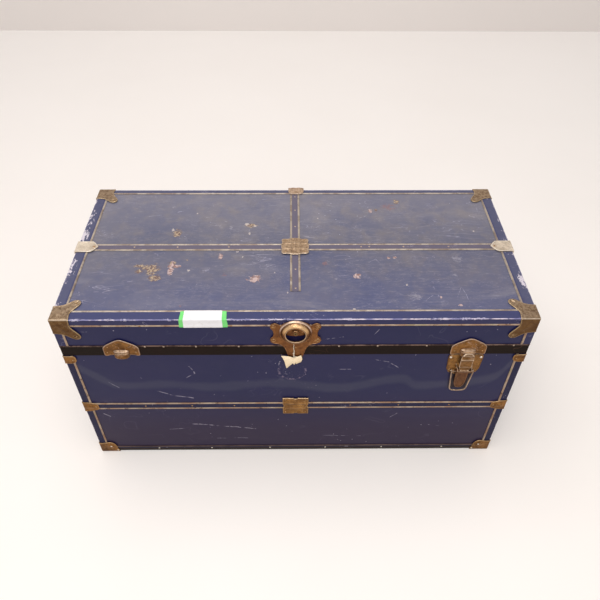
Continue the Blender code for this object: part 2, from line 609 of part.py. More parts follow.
def draw_bolt_hook():
    # out, z
    section = [(HOOK_OUT - 3.0, HOOK_Z - 1.2), (HOOK_OUT - 1.2, HOOK_Z - 3.1),
               (HOOK_OUT + 1.2, HOOK_Z - 3.1), (HOOK_OUT + 3.1, HOOK_Z - 1.0),
               (HOOK_OUT + 3.0, HOOK_Z + 1.4), (13.4, HOOK_Z + 4.0), (13.0, 318.0), (14.1, 320.0),
               (13.0, 322.0), (13.0, 338.5), (14.2, 340.5), (13.2, 342.8), (12.9, 352.0),
               (14.0, 355.5), (12.6, 358.0), (10.8, 356.5), (10.7, 330.0), (10.7, HOOK_Z + 4.0)]
    pivot = (-(PANEL_Y + HOOK_OUT), HOOK_Z)
    hook = face_run("draw_bolt_hook", "brass", "front", section, BOLT_X - 12.5, BOLT_X + 12.5)
    cut(hook, rod_x("eye", "brass", BOLT_X - 14, BOLT_X + 14, *pivot, 1.95))
    hang(hook, (BOLT_X, *pivot))


def draw_bolt_bail():
    # left half of the wire: x from the bolt's middle, z
    half = [(-13.4, BAIL_Z), (-20.0, BAIL_Z), (-21.6, BAIL_Z - 1.6), (-21.8, BAIL_Z - 6.0),
            (-17.2, 246.0), (-15.6, 241.0), (-11.5, 237.6), (0.0, 236.2)]
    y = -(PANEL_Y + BAIL_OUT)
    path = [(BOLT_X + x, y, z) for x, z in mirror(half)]
    bail = tube("draw_bolt_bail", "steel", path, [1.5] * len(path), 8)
    hang(bail, (BOLT_X, y, BAIL_Z))


# ================================================================ end handles
def handle_plate(face):
    """Plate on an end of the trunk with two pierced ears."""
    half = [(66, -16), (72, -10), (72, 10), (66, 16)]  # y, z from the pivot
    holder = face_prism("handle_plate_" + face, "brass", face,
                        shift(mirror(half), 0, HANDLE_Z), GAP, PLATE_OUT)
    # out, z from the pivot
    lug = [(1.4, -7.5), (HANDLE_OUT, -6.5), (HANDLE_OUT + 4.6, -4.6), (HANDLE_OUT + 6.4, 0.0),
           (HANDLE_OUT + 4.6, 4.6), (HANDLE_OUT, 6.5), (1.4, 7.5)]
    hole = circle(HANDLE_OUT, HANDLE_Z, 3.6, 12, math.pi / 12)
    for side_y in (-1, 1):
        y0, y1 = span(0, side_y, 58.0, 62.0)
        ear = face_run("ear", "brass", face, shift(lug, 0.0, HANDLE_Z), y0, y1)
        cut(ear, face_run("eye", "brass", face, hole, y0 - 1, y1 + 1))
        union(holder, ear)


def handle(label, side_x):
    """Bent bar with a thicker grip in the middle."""
    # front half: y, drop below the pivot, radius
    half = [(-64.0, 0.0, 3.1), (-55.5, 0.0, 3.1), (-52.5, 1.4, 3.1), (-51.0, 5.0, 3.1),
            (-50.5, 32.0, 3.1), (-48.0, 40.5, 3.1), (-42.0, 46.0, 3.1), (-36.5, 46.0, 3.1),
            (-36.0, 46.0, 6.2), (-20.0, 46.6, 7.2), (0.0, 47.2, 7.6)]
    stations = mirror(half)
    x = side_x * (PANEL_X + HANDLE_OUT)
    bar = tube("handle_" + label, "leather", [(x, y, HANDLE_Z - drop) for y, drop, _ in stations],
               [radius for _, _, radius in stations], 10)
    hang(bar, (x, 0, HANDLE_Z))


# ================================================================ rear hinges
def hinge(label, side_x):
    """Fixed leaf with two knuckles and the pin, and lid leaf with the middle knuckle."""
    middle = side_x * HINGE_X
    half_width, knuckle, steps = 32.0, 3.6, 14
    left, right = middle - half_width, middle + half_width
    axis = (HINGE_Y, HINGE_Z)

    # arm sections: out, z
    body_arm = [(0.4, 338.0), (1.8, 338.0), (5.0, 343.4), (3.4, 345.8), (0.4, 343.0)]
    lid_arm = [(2.4, 352.4), (2.4, 357.0), (3.7, 357.0), (6.4, 350.4), (4.2, 348.6)]

    body_leaf = face_prism("hinge_body_leaf_" + label, "steel", "back",
                           rectangle(left, 296, right, 343), GAP, PLATE_OUT)
    for side in (-1, 1):
        x0, x1 = span(middle, side, 10.4, half_width)
        union(body_leaf, face_run("arm", "steel", "back", body_arm, x0, x1))
        union(body_leaf, rod_x("knuckle", "steel", x0, x1, *axis, knuckle, steps))
    union(body_leaf, rod_x("pin", "steel", middle - 12.0, middle + 12.0, *axis, 1.5))

    lid_leaf = face_prism("hinge_lid_leaf_" + label, "steel", "back",
                          rectangle(left, 352, right, 398), CAP_IN, 3.7)
    x0, x1 = middle - 10.0, middle + 10.0
    union(lid_leaf, face_run("arm", "steel", "back", lid_arm, x0, x1))
    union(lid_leaf, rod_x("knuckle", "steel", x0, x1, *axis, knuckle, steps))
    cut(lid_leaf, rod_x("bore", "steel", x0 - 2, x1 + 2, *axis, 1.85))


# ================================================================ lid stay inside the right-hand end
def stay_point(forward, up):
    """(y, z) of a point given from the hinge axis."""
    return (HINGE_Y - forward, HINGE_Z + up)


def stay_bar(name, start, end, x0, x1):
    """A flat bar with round ends between two (y, z) points."""
    radius = 7.0
    slope = math.degrees(math.atan2(end[1] - start[1], end[0] - start[0]))
    outline = arc(*end, radius, slope - 90, slope + 90, 6)
    outline += arc(*start, radius, slope + 90, slope + 270, 6)
    return along_x(name, "steel", outline, x0, x1)


def lid_stay(right_wall, lid_frame):
    """Two links whose rivets sit in the chest wall and the lid frame, joined at an elbow."""
    chest, lid = stay_point(*STAY_CHEST), stay_point(*STAY_LID)
    elbow = stay_point(STAY_CHEST[0] + STAY_LID[0], STAY_CHEST[1] + STAY_LID[1])
    rivet, rivet_end = 3.0, INNER_X + 4.5

    lower = stay_bar("stay_lower_link", chest, elbow, INNER_X - 2.4, INNER_X - 0.8)
    union(lower, rod_x("pin", "steel", INNER_X - 1.5, rivet_end, *chest, rivet))
    union(lower, rod_x("pin", "steel", INNER_X - 6.0, INNER_X - 1.5, *elbow, 2.6))
    hang(lower, (INNER_X - 1.6, *chest))

    x0, x1 = INNER_X - 4.6, INNER_X - 3.0
    upper = stay_bar("stay_upper_link", lid, elbow, x0, x1)
    union(upper, rod_x("pin", "steel", INNER_X - 3.5, rivet_end, *lid, rivet))
    cut(upper, rod_x("eye", "steel", x0 - 1, x1 + 1, *elbow, 2.95))
    hang(upper, (INNER_X - 3.8, *lid))

    for piece, point in ((right_wall, chest), (lid_frame, lid)):
        cut(piece, rod_x("stay_hole", "navy_fibre", INNER_X - 1, INNER_X + 5.2, *point, 3.35))


# ================================================================ lift-out tray on a ledge
def tray_ledge():
    bottom, top = 250.0, TRAY_Z - GAP
    outer = -WALL - GAP
    inner_x, inner_y = -WALL - 15, -WALL - 13
    ring("tray_ledge", "wood", [(outer, outer, bottom), (outer, outer, top),
                                (inner_x, inner_y, top), (inner_x, inner_y, bottom)])


def lift_out_tray():
    """Open tray with a divider right of the middle."""
    half_x, half_y = INNER_X - 9.0, INNER_Y - 4.0
    side, floor, overrun = 6, 5, 5
    divider = (116.0, 122.0)
    tray = box("lift_out_tray", "tray_board",
               (-half_x, -half_y, TRAY_Z), (half_x, half_y, TRAY_Z + TRAY_HEIGHT))
    for x0, x1 in ((-half_x + side, divider[0]), (divider[1], half_x - side)):
        cut(tray, box("well", "tray_board", (x0, -half_y + side, TRAY_Z + floor),
                      (x1, half_y - side, TRAY_Z + TRAY_HEIGHT + overrun)))
    hang(tray, (0, 0, TRAY_Z))


def hang_lid():
    """Parents every piece of the lid to an empty on the hinge axis."""
    axis = bpy.data.objects.new("lid_axis", None)
    bpy.context.scene.collection.objects.link(axis)
    axis.location = Vector((0, HINGE_Y, HINGE_Z)) * MM
    bpy.context.view_layer.update()
    prefixes = ("lid_", "hinge_lid_", "draw_bolt_catch", "lock_")
    for obj in list(bpy.data.objects):
        if obj.type == "MESH" and obj.name.startswith(prefixes):
            obj.parent = axis
            obj.matrix_parent_inverse = axis.matrix_world.inverted()
    bpy.context.view_layer.update()


def build():
    for old in list(bpy.data.objects):
        bpy.data.objects.remove(old, do_unlink=True)

    right_wall = chest_panels()
    chest_bindings()
    belt_plate()
    chest_caps()

    lid_frame = lid_panels()
    lid_bindings()
    lid_strips()
    lid_cross_plate()
    lid_clamps()
    lid_corners()
    draw_bolt_catches()
    lock_plate()
    lock_cylinder()

    draw_bolt_base()
    draw_bolt_lever()
    draw_bolt_hook()
    draw_bolt_bail()
    for label, side_x in SIDES:
        handle_plate(label)
        handle(label, side_x)
        hinge(label, side_x)
    lid_stay(right_wall, lid_frame)
    tray_ledge()
    lift_out_tray()
    hang_lid()


build()
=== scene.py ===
"""Steamer trunk: materials for every CAD node, stamped brass, nails, label, torn tag and studio.

The trunk stands on z = 0, centred on x and y. Its long side runs along x, its front faces -y and
its lid is on top. Sizes are in millimetres unless a comment says otherwise; meshes are scaled to
metres as they are made.
"""

import math
import random
from functools import cached_property, partial, reduce
from operator import and_, or_

import bmesh
import bpy
import numpy as np
from mathutils import Matrix, Vector, noise


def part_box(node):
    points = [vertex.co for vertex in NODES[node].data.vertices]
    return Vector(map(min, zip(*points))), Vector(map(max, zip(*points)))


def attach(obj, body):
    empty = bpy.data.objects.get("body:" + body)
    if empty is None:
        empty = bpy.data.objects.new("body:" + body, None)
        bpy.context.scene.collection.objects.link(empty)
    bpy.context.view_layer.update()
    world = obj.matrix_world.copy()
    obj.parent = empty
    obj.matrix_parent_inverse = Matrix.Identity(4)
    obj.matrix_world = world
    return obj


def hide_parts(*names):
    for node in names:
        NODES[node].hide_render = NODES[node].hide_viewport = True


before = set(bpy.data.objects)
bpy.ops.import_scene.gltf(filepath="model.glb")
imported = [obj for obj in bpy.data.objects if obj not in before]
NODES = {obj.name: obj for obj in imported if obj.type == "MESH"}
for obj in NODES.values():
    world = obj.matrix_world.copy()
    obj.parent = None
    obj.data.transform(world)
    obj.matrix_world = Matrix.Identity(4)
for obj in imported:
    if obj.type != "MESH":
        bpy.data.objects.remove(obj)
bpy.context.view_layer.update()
random.seed(7)

MM = 0.001
HALF_X, HALF_Y, TOP = 453.5, 209.0, 446.5  # outside of the panels
BINDING_X, BINDING_Y = HALF_X + 1.3, HALF_Y + 1.3  # outside of the fibre binding
CAP = 3.5  # how far the brass corners stand proud of the panels
CAP_X, CAP_Y, CAP_TOP = HALF_X + CAP, HALF_Y + CAP, TOP + CAP
SHEET_BACK = 2.3  # height of a stamped sheet's back above the panel
BOLT_X = 338.0
HINGE_X = 290.0
LOCK_Z = 414.5
BELT_Z = 179.0
HANDLE_Z = 268.0
CLAMP_X = 419.5  # hole in the lid's end clamps
LOBE = (43.0, 46.2)  # slot in a lid corner's lobe, in from the cap's outer faces

bail_low, bail_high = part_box("draw_bolt_bail")
BAIL_HALF = (bail_high[0] - bail_low[0]) * 500.0
BAIL_LOW = bail_low[2] * 1000.0

CORNERS = (("front_left", -1, -1), ("front_right", 1, -1), ("rear_left", -1, 1), ("rear_right", 1, 1))
CORNER_LABELS = [label for label, _, _ in CORNERS]
SIDES = (("left", -1), ("right", 1))
SIDE_LABELS = ("left", "right")


# ------------------------------------------------------------------ node graphs
def srgb(*levels):
    """Linear colour from 0-255 values."""
    out = []
    for level in levels:
        level /= 255.0
        out.append(level / 12.92 if level <= 0.04045 else ((level + 0.055) / 1.055) ** 2.4)
    return (*out, 1.0)


def binary(kind, swap=False):
    """An operator that makes a math node."""
    def apply(self, other):
        pair = (other, self) if swap else (self, other)
        return self.mat.op(kind, *pair)
    return apply


class Signal:
    """A node output. Signals add and multiply; | is the greater of two and & the lesser."""

    def __init__(self, mat, socket):
        self.mat = mat
        self.socket = socket

    __add__ = binary("ADD")
    __radd__ = binary("ADD", swap=True)
    __sub__ = binary("SUBTRACT")
    __rsub__ = binary("SUBTRACT", swap=True)
    __mul__ = binary("MULTIPLY")
    __or__ = binary("MAXIMUM")
    __and__ = binary("MINIMUM")

    def __abs__(self):
        return self.math("ABSOLUTE")

    def math(self, kind, *others, clamp=False):
        return self.mat.op(kind, self, *others, clamp=clamp)

    def inverse(self):
        return self.mat.op("SUBTRACT", 1.0, self, clamp=True)

    def step(self, start, end):
        """Smooth step from 0 at start to 1 at end; start may be the greater."""
        node = self.mat.new("ShaderNodeMapRange", interpolation_type="SMOOTHSTEP")
        falling = start > end
        limits = (end, start, 1.0, 0.0) if falling else (start, end, 0.0, 1.0)
        for socket, value in zip(node.inputs, (self, *limits)):
            self.mat.put(socket, value)
        return Signal(self.mat, node.outputs[0])

    def above(self, edge, soft=0.15):
        return self.step(edge - soft, edge + soft)

    def below(self, edge, soft=0.15):
        return self.step(edge + soft, edge - soft)

    def blend(self, kind, slots, low, high):
        node = self.mat.new("ShaderNodeMix", data_type=kind)
        for slot, value in zip((0, *slots), (self, low, high)):
            self.mat.put(node.inputs[slot], value)
        return node

    def lerp(self, low, high):
        """Number that runs from low to high as this signal runs from 0 to 1."""
        return Signal(self.mat, self.blend("FLOAT", (2, 3), low, high).outputs[0])

    def fade(self, *colours):
        """The same for two colours, each a signal or three 0-255 values."""
        pair = [c if isinstance(c, Signal) else srgb(*c) for c in colours]
        return Signal(self.mat, self.blend("RGBA", (6, 7), *pair).outputs[2])

    def paint(self, mask, colour):
        """This colour with another laid over it where mask is 1."""
        return mask.fade(self, colour)


def hypot(across, along):
    return (across * across + along * along).math("SQRT")


class Shader:
    """A material with one Principled shader, and the textures that feed it."""

    def __init__(self, name):
        self.material = bpy.data.materials.new(name)
        self.material.use_nodes = True
        self.tree = self.material.node_tree
        self.tree.nodes.clear()
        out = self.new("ShaderNodeOutputMaterial")
        self.bsdf = self.new("ShaderNodeBsdfPrincipled")
        self.tree.links.new(self.bsdf.outputs[0], out.inputs[0])
        self.place = self.source("ShaderNodeTexCoord", "Object")
        self.shifts = {}
        self.normal = None

    def new(self, kind, **settings):
        node = self.tree.nodes.new(kind)
        for key, value in settings.items():
            setattr(node, key, value)
        return node

    def source(self, kind, out):
        return Signal(self, self.new(kind).outputs[out])

    def put(self, socket, value):
        if isinstance(value, Signal):
            self.tree.links.new(value.socket, socket)
        elif value is not None:
            socket.default_value = value

    def op(self, kind, *inputs, clamp=False):
        node = self.new("ShaderNodeMath", operation=kind, use_clamp=clamp)
        for socket, value in zip(node.inputs, inputs):
            self.put(socket, value)
        return Signal(self, node.outputs[0])

    def vector(self, kind, *inputs, out="Vector"):
        node = self.new("ShaderNodeVectorMath", operation=kind)
        for socket, value in zip(node.inputs, inputs):
            self.put(socket, value)
        return Signal(self, node.outputs[out])

    def split(self, vector):
        node = self.new("ShaderNodeSeparateXYZ")
        self.put(node.inputs[0], vector)
        return [Signal(self, out) for out in node.outputs]

    @cached_property
    def xyz(self):
        """Object coordinates in millimetres."""
        return [part * 1000.0 for part in self.split(self.place)]

    def facing(self, axis):
        """One component of the surface normal, in the trunk's own frame."""
        return self.split(self.source("ShaderNodeTexCoord", "Normal"))[axis]

    def map(self, stretch=(1, 1, 1), loc=(0, 0, 0), rot=(0, 0, 0)):
        node = self.new("ShaderNodeMapping")
        for socket, value in zip(node.inputs, (self.place, loc, rot, stretch)):
            self.put(socket, value)
        return Signal(self, node.outputs[0])

    def texture(self, node, place, settings):
        """Feeds a texture node; place holds the mapping's arguments, if it needs one."""
        self.put(node.inputs["Vector"], self.map(**place) if place else self.place)
        for key, value in settings.items():
            node.inputs[key].default_value = value

    def noise(self, scale=1, detail=3, rough=0.55, distort=0, out="Fac", **place):
        node = self.new("ShaderNodeTexNoise")
        self.texture(node, place, {"Scale": scale, "Detail": detail, "Roughness": rough,
                                   "Distortion": distort})
        return Signal(self, node.outputs[out])

    def cells(self, scale, feature="F1", **place):
        node = self.new("ShaderNodeTexVoronoi", feature=feature)
        self.texture(node, place, {"Scale": scale, "Randomness": 1.0})
        return Signal(self, node.outputs["Distance"])

    def curve(self, value, span, reach, points):
        """A drawn function of value over span: points are (value, result), results in reach."""
        low, high = span
        floor, ceiling = reach
        node = self.new("ShaderNodeFloatCurve")
        line = node.mapping.curves[0]
        spots = [((a - low) / (high - low), (b - floor) / (ceiling - floor)) for a, b in points]
        line.points[0].location = spots[0]
        line.points[-1].location = spots[-1]
        for place in spots[1:-1]:
            line.points.new(*place)
        node.mapping.update()
        width = high - low
        self.put(node.inputs["Value"],
                 value.math("MULTIPLY_ADD", 1.0 / width, -low / width, clamp=True))
        return Signal(self, node.outputs[0]).math("MULTIPLY_ADD", ceiling - floor, floor)

    def bump(self, height, depth, strength):
        """Adds relief over the bumps already laid; depth in metres."""
        node = self.new("ShaderNodeBump")
        for key, value in (("Strength", strength), ("Distance", depth), ("Height", height),
                           ("Normal", self.normal)):
            self.put(node.inputs[key], value)
        self.normal = Signal(self, node.outputs[0])

    def finish(self, base, rough, metal=0.0, specular=None):
        for key, value in (("Base Color", base), ("Roughness", rough), ("Metallic", metal),
                           ("Specular IOR Level", specular), ("Normal", self.normal)):
            self.put(self.bsdf.inputs[key], value)
        return self.material

    # --- pieces of wear shared by several materials
    def hairs(self, scale, stretch, rot, loc, width, keep_scale, keep):
        """Thin hair scratches, kept where a coarser noise of keep_scale beats keep."""
        lines = self.noise(detail=2, rough=0.5, distort=0.5, rot=rot, loc=loc,
                           stretch=(scale, scale * stretch, scale))
        line = abs(lines - 0.5).step(width, width * 0.2)
        return line * self.noise(keep_scale, detail=2, rough=0.6, loc=loc).step(keep, keep + 0.08)

    def smears(self, patches, grain, threshold):
        """Ragged flakes on the lid in patches (x, y, half width, half depth).

        The grain must beat a level that rises towards each patch's rim.
        """
        distances = []
        for x, y, wide, deep in patches:
            away = self.vector("MULTIPLY_ADD", self.place, (1000.0 / wide, 1000.0 / deep, 0.0),
                               (-x / wide, -y / deep, 0.0))
            distances.append(self.vector("DOT_PRODUCT", away, away, out="Value"))
        level = reduce(and_, distances).math("MULTIPLY_ADD", -0.16, grain)
        return level.step(threshold, threshold + 0.07)

    def stroke(self, start, end, width, wander):
        """A wavering scratch from start to end."""
        start = Vector(start) * MM
        run = Vector(end) * MM - start
        away = self.vector("SUBTRACT", self.wavy(wander), start)
        along = self.vector("DOT_PRODUCT", away, run / run.length_squared, out="Value")
        nearest = self.vector("SCALE", run, None, None, along.math("MULTIPLY", 1.0, clamp=True))
        gap = self.vector("DISTANCE", away, nearest, out="Value")
        return gap.step(width * MM, width * 0.35 * MM)

    def wavy(self, amount):
        """Object coordinates shifted about by a soft noise; each amount is made once."""
        if amount not in self.shifts:
            drift = self.noise(22, detail=2, rough=0.5, out="Color")
            back = self.map(loc=(-amount * MM / 2,) * 3)
            self.shifts[amount] = self.vector("MULTIPLY_ADD", drift, (amount * MM,) * 3, back)
        return self.shifts[amount]


GOLD = (158, 126, 102)
GOLD_PALE = (188, 170, 150)
GOLD_DARK = (100, 76, 62)
SCUFF = (196, 190, 208)


def lining(mat, seed):
    """Cream lining paper with a faint printed lattice, foxed with age."""
    pitch = 0.19  # radians of the lattice per millimetre
    x, y, z = mat.xyz
    end = abs(mat.facing(0)).step(0.6, 0.8)
    rising = abs(((x + y + z) * pitch).math("SINE"))
    falling = abs((end.lerp(x - y - z, y - z) * pitch).math("SINE"))
    lattice = rising.step(0.10, 0.03) | falling.step(0.10, 0.03)
    dots = ((1.0 - rising) * 1.0 + (1.0 - falling)).step(0.10, 0.02)
    age = mat.noise(9, detail=5, rough=0.62, distort=0.3, loc=(seed, 0, 0))
    fox = mat.noise(60, rough=0.6, loc=(0, seed, 0)).step(0.66, 0.74)
    base = age.fade((206, 190, 158), (178, 156, 120))
    base = base.paint(lattice * 0.55, (110, 122, 150))
    base = base.paint(dots * 0.6, (150, 84, 74))
    return base.paint(fox * 0.5, (134, 98, 64))


def ply_edge(mat):
    grain = mat.noise(detail=4, rough=0.6, distort=0.4, stretch=(14, 14, 700))
    return grain.fade((176, 138, 96), (120, 86, 56))


# ------------------------------------------------------------------ painted panels
# patches of wear on the lid: (x, y, half width, half depth)
BROWN_STREAKS = [
    (-311, -59, 17.7, 6.4), (-293, -66, 20.1, 7.6), (-288, -69, 15.1, 18.7), (-280, -94, 14.0, 9.7),
    (-314, -75, 8.3, 7.5), (-251, -50, 9.3, 5.8), (-221, -40, 2.6, 2.6), (-253, 49, 9.9, 14.3),
    (-96, 76, 13.7, 7.4), (183, 131, 4.1, 4.3), (233, 163, 7.3, 8.8)]
PINK_PRIMER = [
    (-251, -66, 6.7, 21.3), (-241, -60, 10.1, 5.1), (-153, -29, 5.2, 9.9), (-82, -99, 14.0, 8.5),
    (-77, -95, 8.3, 11.0), (170, 128, 4.6, 6.8), (124, -89, 8.1, 8.0), (192, -34, 4.7, 4.3),
    (206, -34, 4.2, 4.3), (280, -151, 2.6, 3.7), (313, -173, 5.1, 3.0)]
WHITE_NICKS = [
    (-215, -72, 3.8, 4.4), (-264, 60, 3.6, 6.6), (-218, 120, 2.3, 3.1), (-105, 80, 6.4, 6.0),
    (-98, 47, 3.1, 5.8), (-87, 73, 4.6, 4.4), (-120, -14, 3.9, 2.7), (-108, -31, 2.6, 2.6),
    (-15, -137, 1.6, 2.9), (-41, -79, 1.7, 2.5), (-362, 7, 1.7, 2.1), (51, 101, 2.0, 3.3),
    (220, -116, 3.1, 3.9), (388, 54, 2.9, 3.2), (111, -183, 3.8, 3.6)]
FAINT_SCUFFS = [
    (-274, 143, 7.5, 4.0), (-87, -18, 3.0, 3.4), (-139, 67, 6.3, 10.3), (230, -150, 17.4, 13.5),
    (335, -38, 14.0, 12.7), (320, -89, 7.2, 9.3), (81, -98, 3.6, 4.0)]
RUSTY_STAINS = [
    (-142, -85, 5.0, 5.6), (-218, -173, 3.1, 5.0), (212, 143, 19.5, 13.8), (61, -51, 6.4, 8.3)]
NICK_SCALE = 0.75
# scratches on the lid: x, y of the start, x, y of the end, width, wander
TOP_HAIRS = [
    (-335, 105, -250, 127, 0.7, 11), (-250, 127, -211, 109, 0.7, 11), (-211, 109, -135, 86, 0.7, 11),
    (-372, -104, -315, -105, 0.7, 4), (-278, -27, -284, -69, 0.7, 11),
    (-425, -123, -407, -161, 0.6, 11), (-370, -152, -341, -138, 0.6, 11),
    (-299, -147, -230, -156, 0.6, 11), (-250, 127, -286, 113, 0.8, 11),
    (-159, -148, -149, -170, 0.7, 4), (151, -48, 166, -38, 0.7, 4), (166, -38, 179, -65, 0.9, 4),
    (85, 65, 158, 109, 0.7, 11), (41, 77, 79, 45, 0.6, 11), (320, -93, 336, -166, 0.7, 11),
    (336, -99, 313, -151, 0.6, 11), (371, -23, 412, -31, 0.5, 11), (151, -162, 210, -175, 0.6, 11),
    (245, -166, 286, -132, 0.5, 11), (413, 143, 414, 84, 0.6, 4), (419, 126, 388, 76, 0.5, 4)]
# scratches on the front: x, z of the start, x, z of the end, width, wander
FRONT_HAIRS = [
    (-214, 310, -206, 288, 1.6, 11), (-206, 288, -222, 276, 1.3, 11), (-318, 276, -302, 246, 0.8, 11),
    (-292, 232, -256, 212, 1.4, 11), (-256, 212, -216, 206, 1.8, 11), (-230, 108, -130, 96, 1.8, 11),
    (-150, 98, -90, 88, 1.6, 4), (-30, 326, -36, 296, 1.6, 11), (-36, 296, -18, 284, 1.2, 11),
    (160, 330, 186, 322, 1.1, 4), (186, 322, 208, 304, 1.2, 4), (-416, 414, -392, 414, 1.1, 4),
    (-300, 86, -240, 92, 0.9, 11), (300, 100, 340, 96, 1.3, 11), (210, 132, 224, 146, 0.9, 4),
    (-420, 150, -408, 140, 1.4, 4), (86, 300, 112, 300, 1.0, 4), (-386, 262, -366, 244, 1.1, 11),
    (60, 60, 150, 56, 0.7, 4), (-180, 50, -110, 50, 0.8, 4)]
RIM_HAIRS = [(-416, 414, -392, 414, 1.1, 4), (60, 392, 92, 398, 0.8, 4), (150, 404, 158, 418, 0.8, 4)]
# centre line of the painted wavy reflection across the front: (x, z)
WAVY_REFLECTION = [
    (-455, 322), (-425, 300), (-392, 268), (-362, 249), (-315, 250), (-266, 254), (-215, 247),
    (-172, 243), (-100, 251), (-28, 256), (30, 246), (89, 238), (130, 244), (170, 258), (219, 268),
    (255, 247), (320, 252), (400, 267), (432, 314), (455, 340)]


def on_front(hairs):
    return [((x0, -HALF_Y, z0), (x1, -HALF_Y, z1), *rest) for x0, z0, x1, z1, *rest in hairs]


def on_top(hairs):
    return [((x0, y0, 447), (x1, y1, 447), *rest) for x0, y0, x1, y1, *rest in hairs]


def top_paint(mat, big, mid):
    """Faded paint of the lid, bluer in front, lighter and greyer behind."""
    y = mat.xyz[1]
    base = big.step(0.25, 0.75).fade((80, 84, 110), (108, 106, 118))
    base = base.paint(mid.step(0.42, 0.72) * 0.55, (122, 114, 112))
    front = (y + (big - 0.5) * 160.0).step(40.0, -190.0)
    base = base.paint(front * 0.62, (72, 78, 118))
    base = base.paint(y.step(-10.0, 170.0) * 0.13, (186, 180, 190))
    sweep = mat.noise(detail=4, rough=0.6, distort=1.2, stretch=(3.5, 11, 3), rot=(0, 0, 0.25))
    return base.paint(sweep.step(0.55, 0.72) * 0.35, (134, 130, 138))


def side_paint(mat, big, mid):
    """Dark paint of the walls, browner towards the floor."""
    base = big.step(0.3, 0.7).fade((22, 26, 70), (30, 30, 74))
    base = base.paint(mid.step(0.5, 0.75) * 0.25, (44, 42, 76))
    return base.paint(mat.xyz[2].step(250.0, 60.0) * 0.7, (50, 36, 58))


def top_wear(mat, base, seed):
    """Fine scratches, pale clouds and grime on the lid."""
    fine = (mat.hairs(16, stretch=9, rot=(0, 0, 0.35), loc=(seed, 4, 2), width=0.012,
                      keep_scale=5, keep=0.44)
            | mat.hairs(20, stretch=8, rot=(0, 0, -0.55), loc=(2.5, seed, 1), width=0.010,
                        keep_scale=6, keep=0.48)
            | mat.hairs(24, stretch=7, rot=(0, 0, 1.25), loc=(seed, 1, 6), width=0.010,
                        keep_scale=7, keep=0.50))
    base = base.paint(fine * 0.20, (178, 172, 180))
    cloud = mat.noise(60, detail=5, rough=0.72, distort=0.5, stretch=(1, 1.8, 1), loc=(seed, 2, 0))
    base = base.paint(cloud.step(0.50, 0.72) * 0.22, (146, 140, 146))
    grime = mat.noise(34, detail=5, rough=0.7, distort=0.5, loc=(2, seed, 0))
    return base.paint(grime.step(0.54, 0.74) * 0.30, (78, 78, 96))


def top_chips(mat, base):
    """Chips and stains on the lid; gives the colour and the mask of what is chipped off."""
    streaky = mat.noise(detail=5, rough=0.75, distort=0.8, stretch=(150, 330, 100), rot=(0, 0, 0.5))
    lumpy = mat.noise(150, detail=5, rough=0.74, distort=0.3)
    sharp = mat.noise(300, detail=4, rough=0.7)
    small_nicks = [(x, y, wide * NICK_SCALE, deep * NICK_SCALE) for x, y, wide, deep in WHITE_NICKS]
    streaks = mat.smears(BROWN_STREAKS, streaky, threshold=0.36)
    primer = mat.smears(PINK_PRIMER, lumpy, threshold=0.35)
    nicks = mat.smears(small_nicks, sharp, threshold=0.34)
    scuffs = mat.smears(FAINT_SCUFFS, streaky, threshold=0.44)
    stains = mat.smears(RUSTY_STAINS, lumpy, threshold=0.40)
    brown = mat.noise(240, rough=0.6).step(0.45, 0.58).fade((112, 88, 80), (186, 164, 134))
    base = base.paint(streaks * 0.9, brown)
    base = base.paint(scuffs * 0.35, (176, 170, 178))
    base = base.paint(stains * 0.5, (140, 100, 98))
    pink = mat.noise(170, detail=4, rough=0.65, loc=(3, 1, 0)).step(0.44, 0.60)
    base = base.paint(primer * 0.92, pink.fade((196, 172, 168), (138, 104, 96)))
    base = base.paint(nicks * 0.8, (198, 186, 180))
    return base, streaks | primer | nicks


def front_marks(mat, base, big, mid):
    """Painted wavy reflection, ghost of a ring and painted shade inside the draw bolt's bail."""
    x, _, z = mat.xyz
    centre = mat.curve(x, span=(-460.0, 460.0), reach=(200.0, 360.0), points=WAVY_REFLECTION)
    # painted reflection: a paler wavy band along the centre line
    wave_reflection = (abs(z - centre) + ((big - 0.5) * 22.0 + (mid - 0.5) * 8.0)).step(20.0, 5.0)
    wave_reflection = wave_reflection * mat.noise(9, rough=0.6, loc=(7, 0, 2)).lerp(0.35, 1.0)
    base = base.paint(wave_reflection * 0.50, (74, 76, 94))
    # ring of radius 27 round (-7, 296), open at the top
    across = x.math("MULTIPLY_ADD", 1.0, 7.0)
    rise = z.math("MULTIPLY_ADD", 1.0, -296.0)
    far = hypot(across, rise)
    ghost = abs(far - 27.0).step(3.4, 1.0) * mat.noise(120, detail=4, rough=0.7).step(0.46, 0.60)
    ghost = ghost * (abs(across) + rise * -0.9).step(8.0, 22.0)
    base = base.paint(ghost * 0.48, (158, 140, 160))
    speck = mat.noise(210, detail=4, rough=0.7, distort=0.4).step(0.62, 0.68)
    base = base.paint(far.step(44.0, 20.0) * speck * 0.5, (150, 146, 170))
    # painted shade inside the bail's loop, which widens upwards
    taper = (BAIL_HALF - 4.5) + (z - BAIL_LOW) * 0.05
    # noise that makes the painted shade's edge ragged
    patchy = (mat.noise(70, detail=4, rough=0.7, distort=0.3, loc=(5, 0, 1)) - 0.5) * 14.0
    inside = (abs(x - BOLT_X) - taper + patchy).step(3.5, -3.5)
    bail_shade = inside * ((z + patchy).step(BAIL_LOW - 2.0, BAIL_LOW + 6.0) * z.step(306.0, 290.0))
    return base.paint(bail_shade * 0.78, (40, 25, 18))


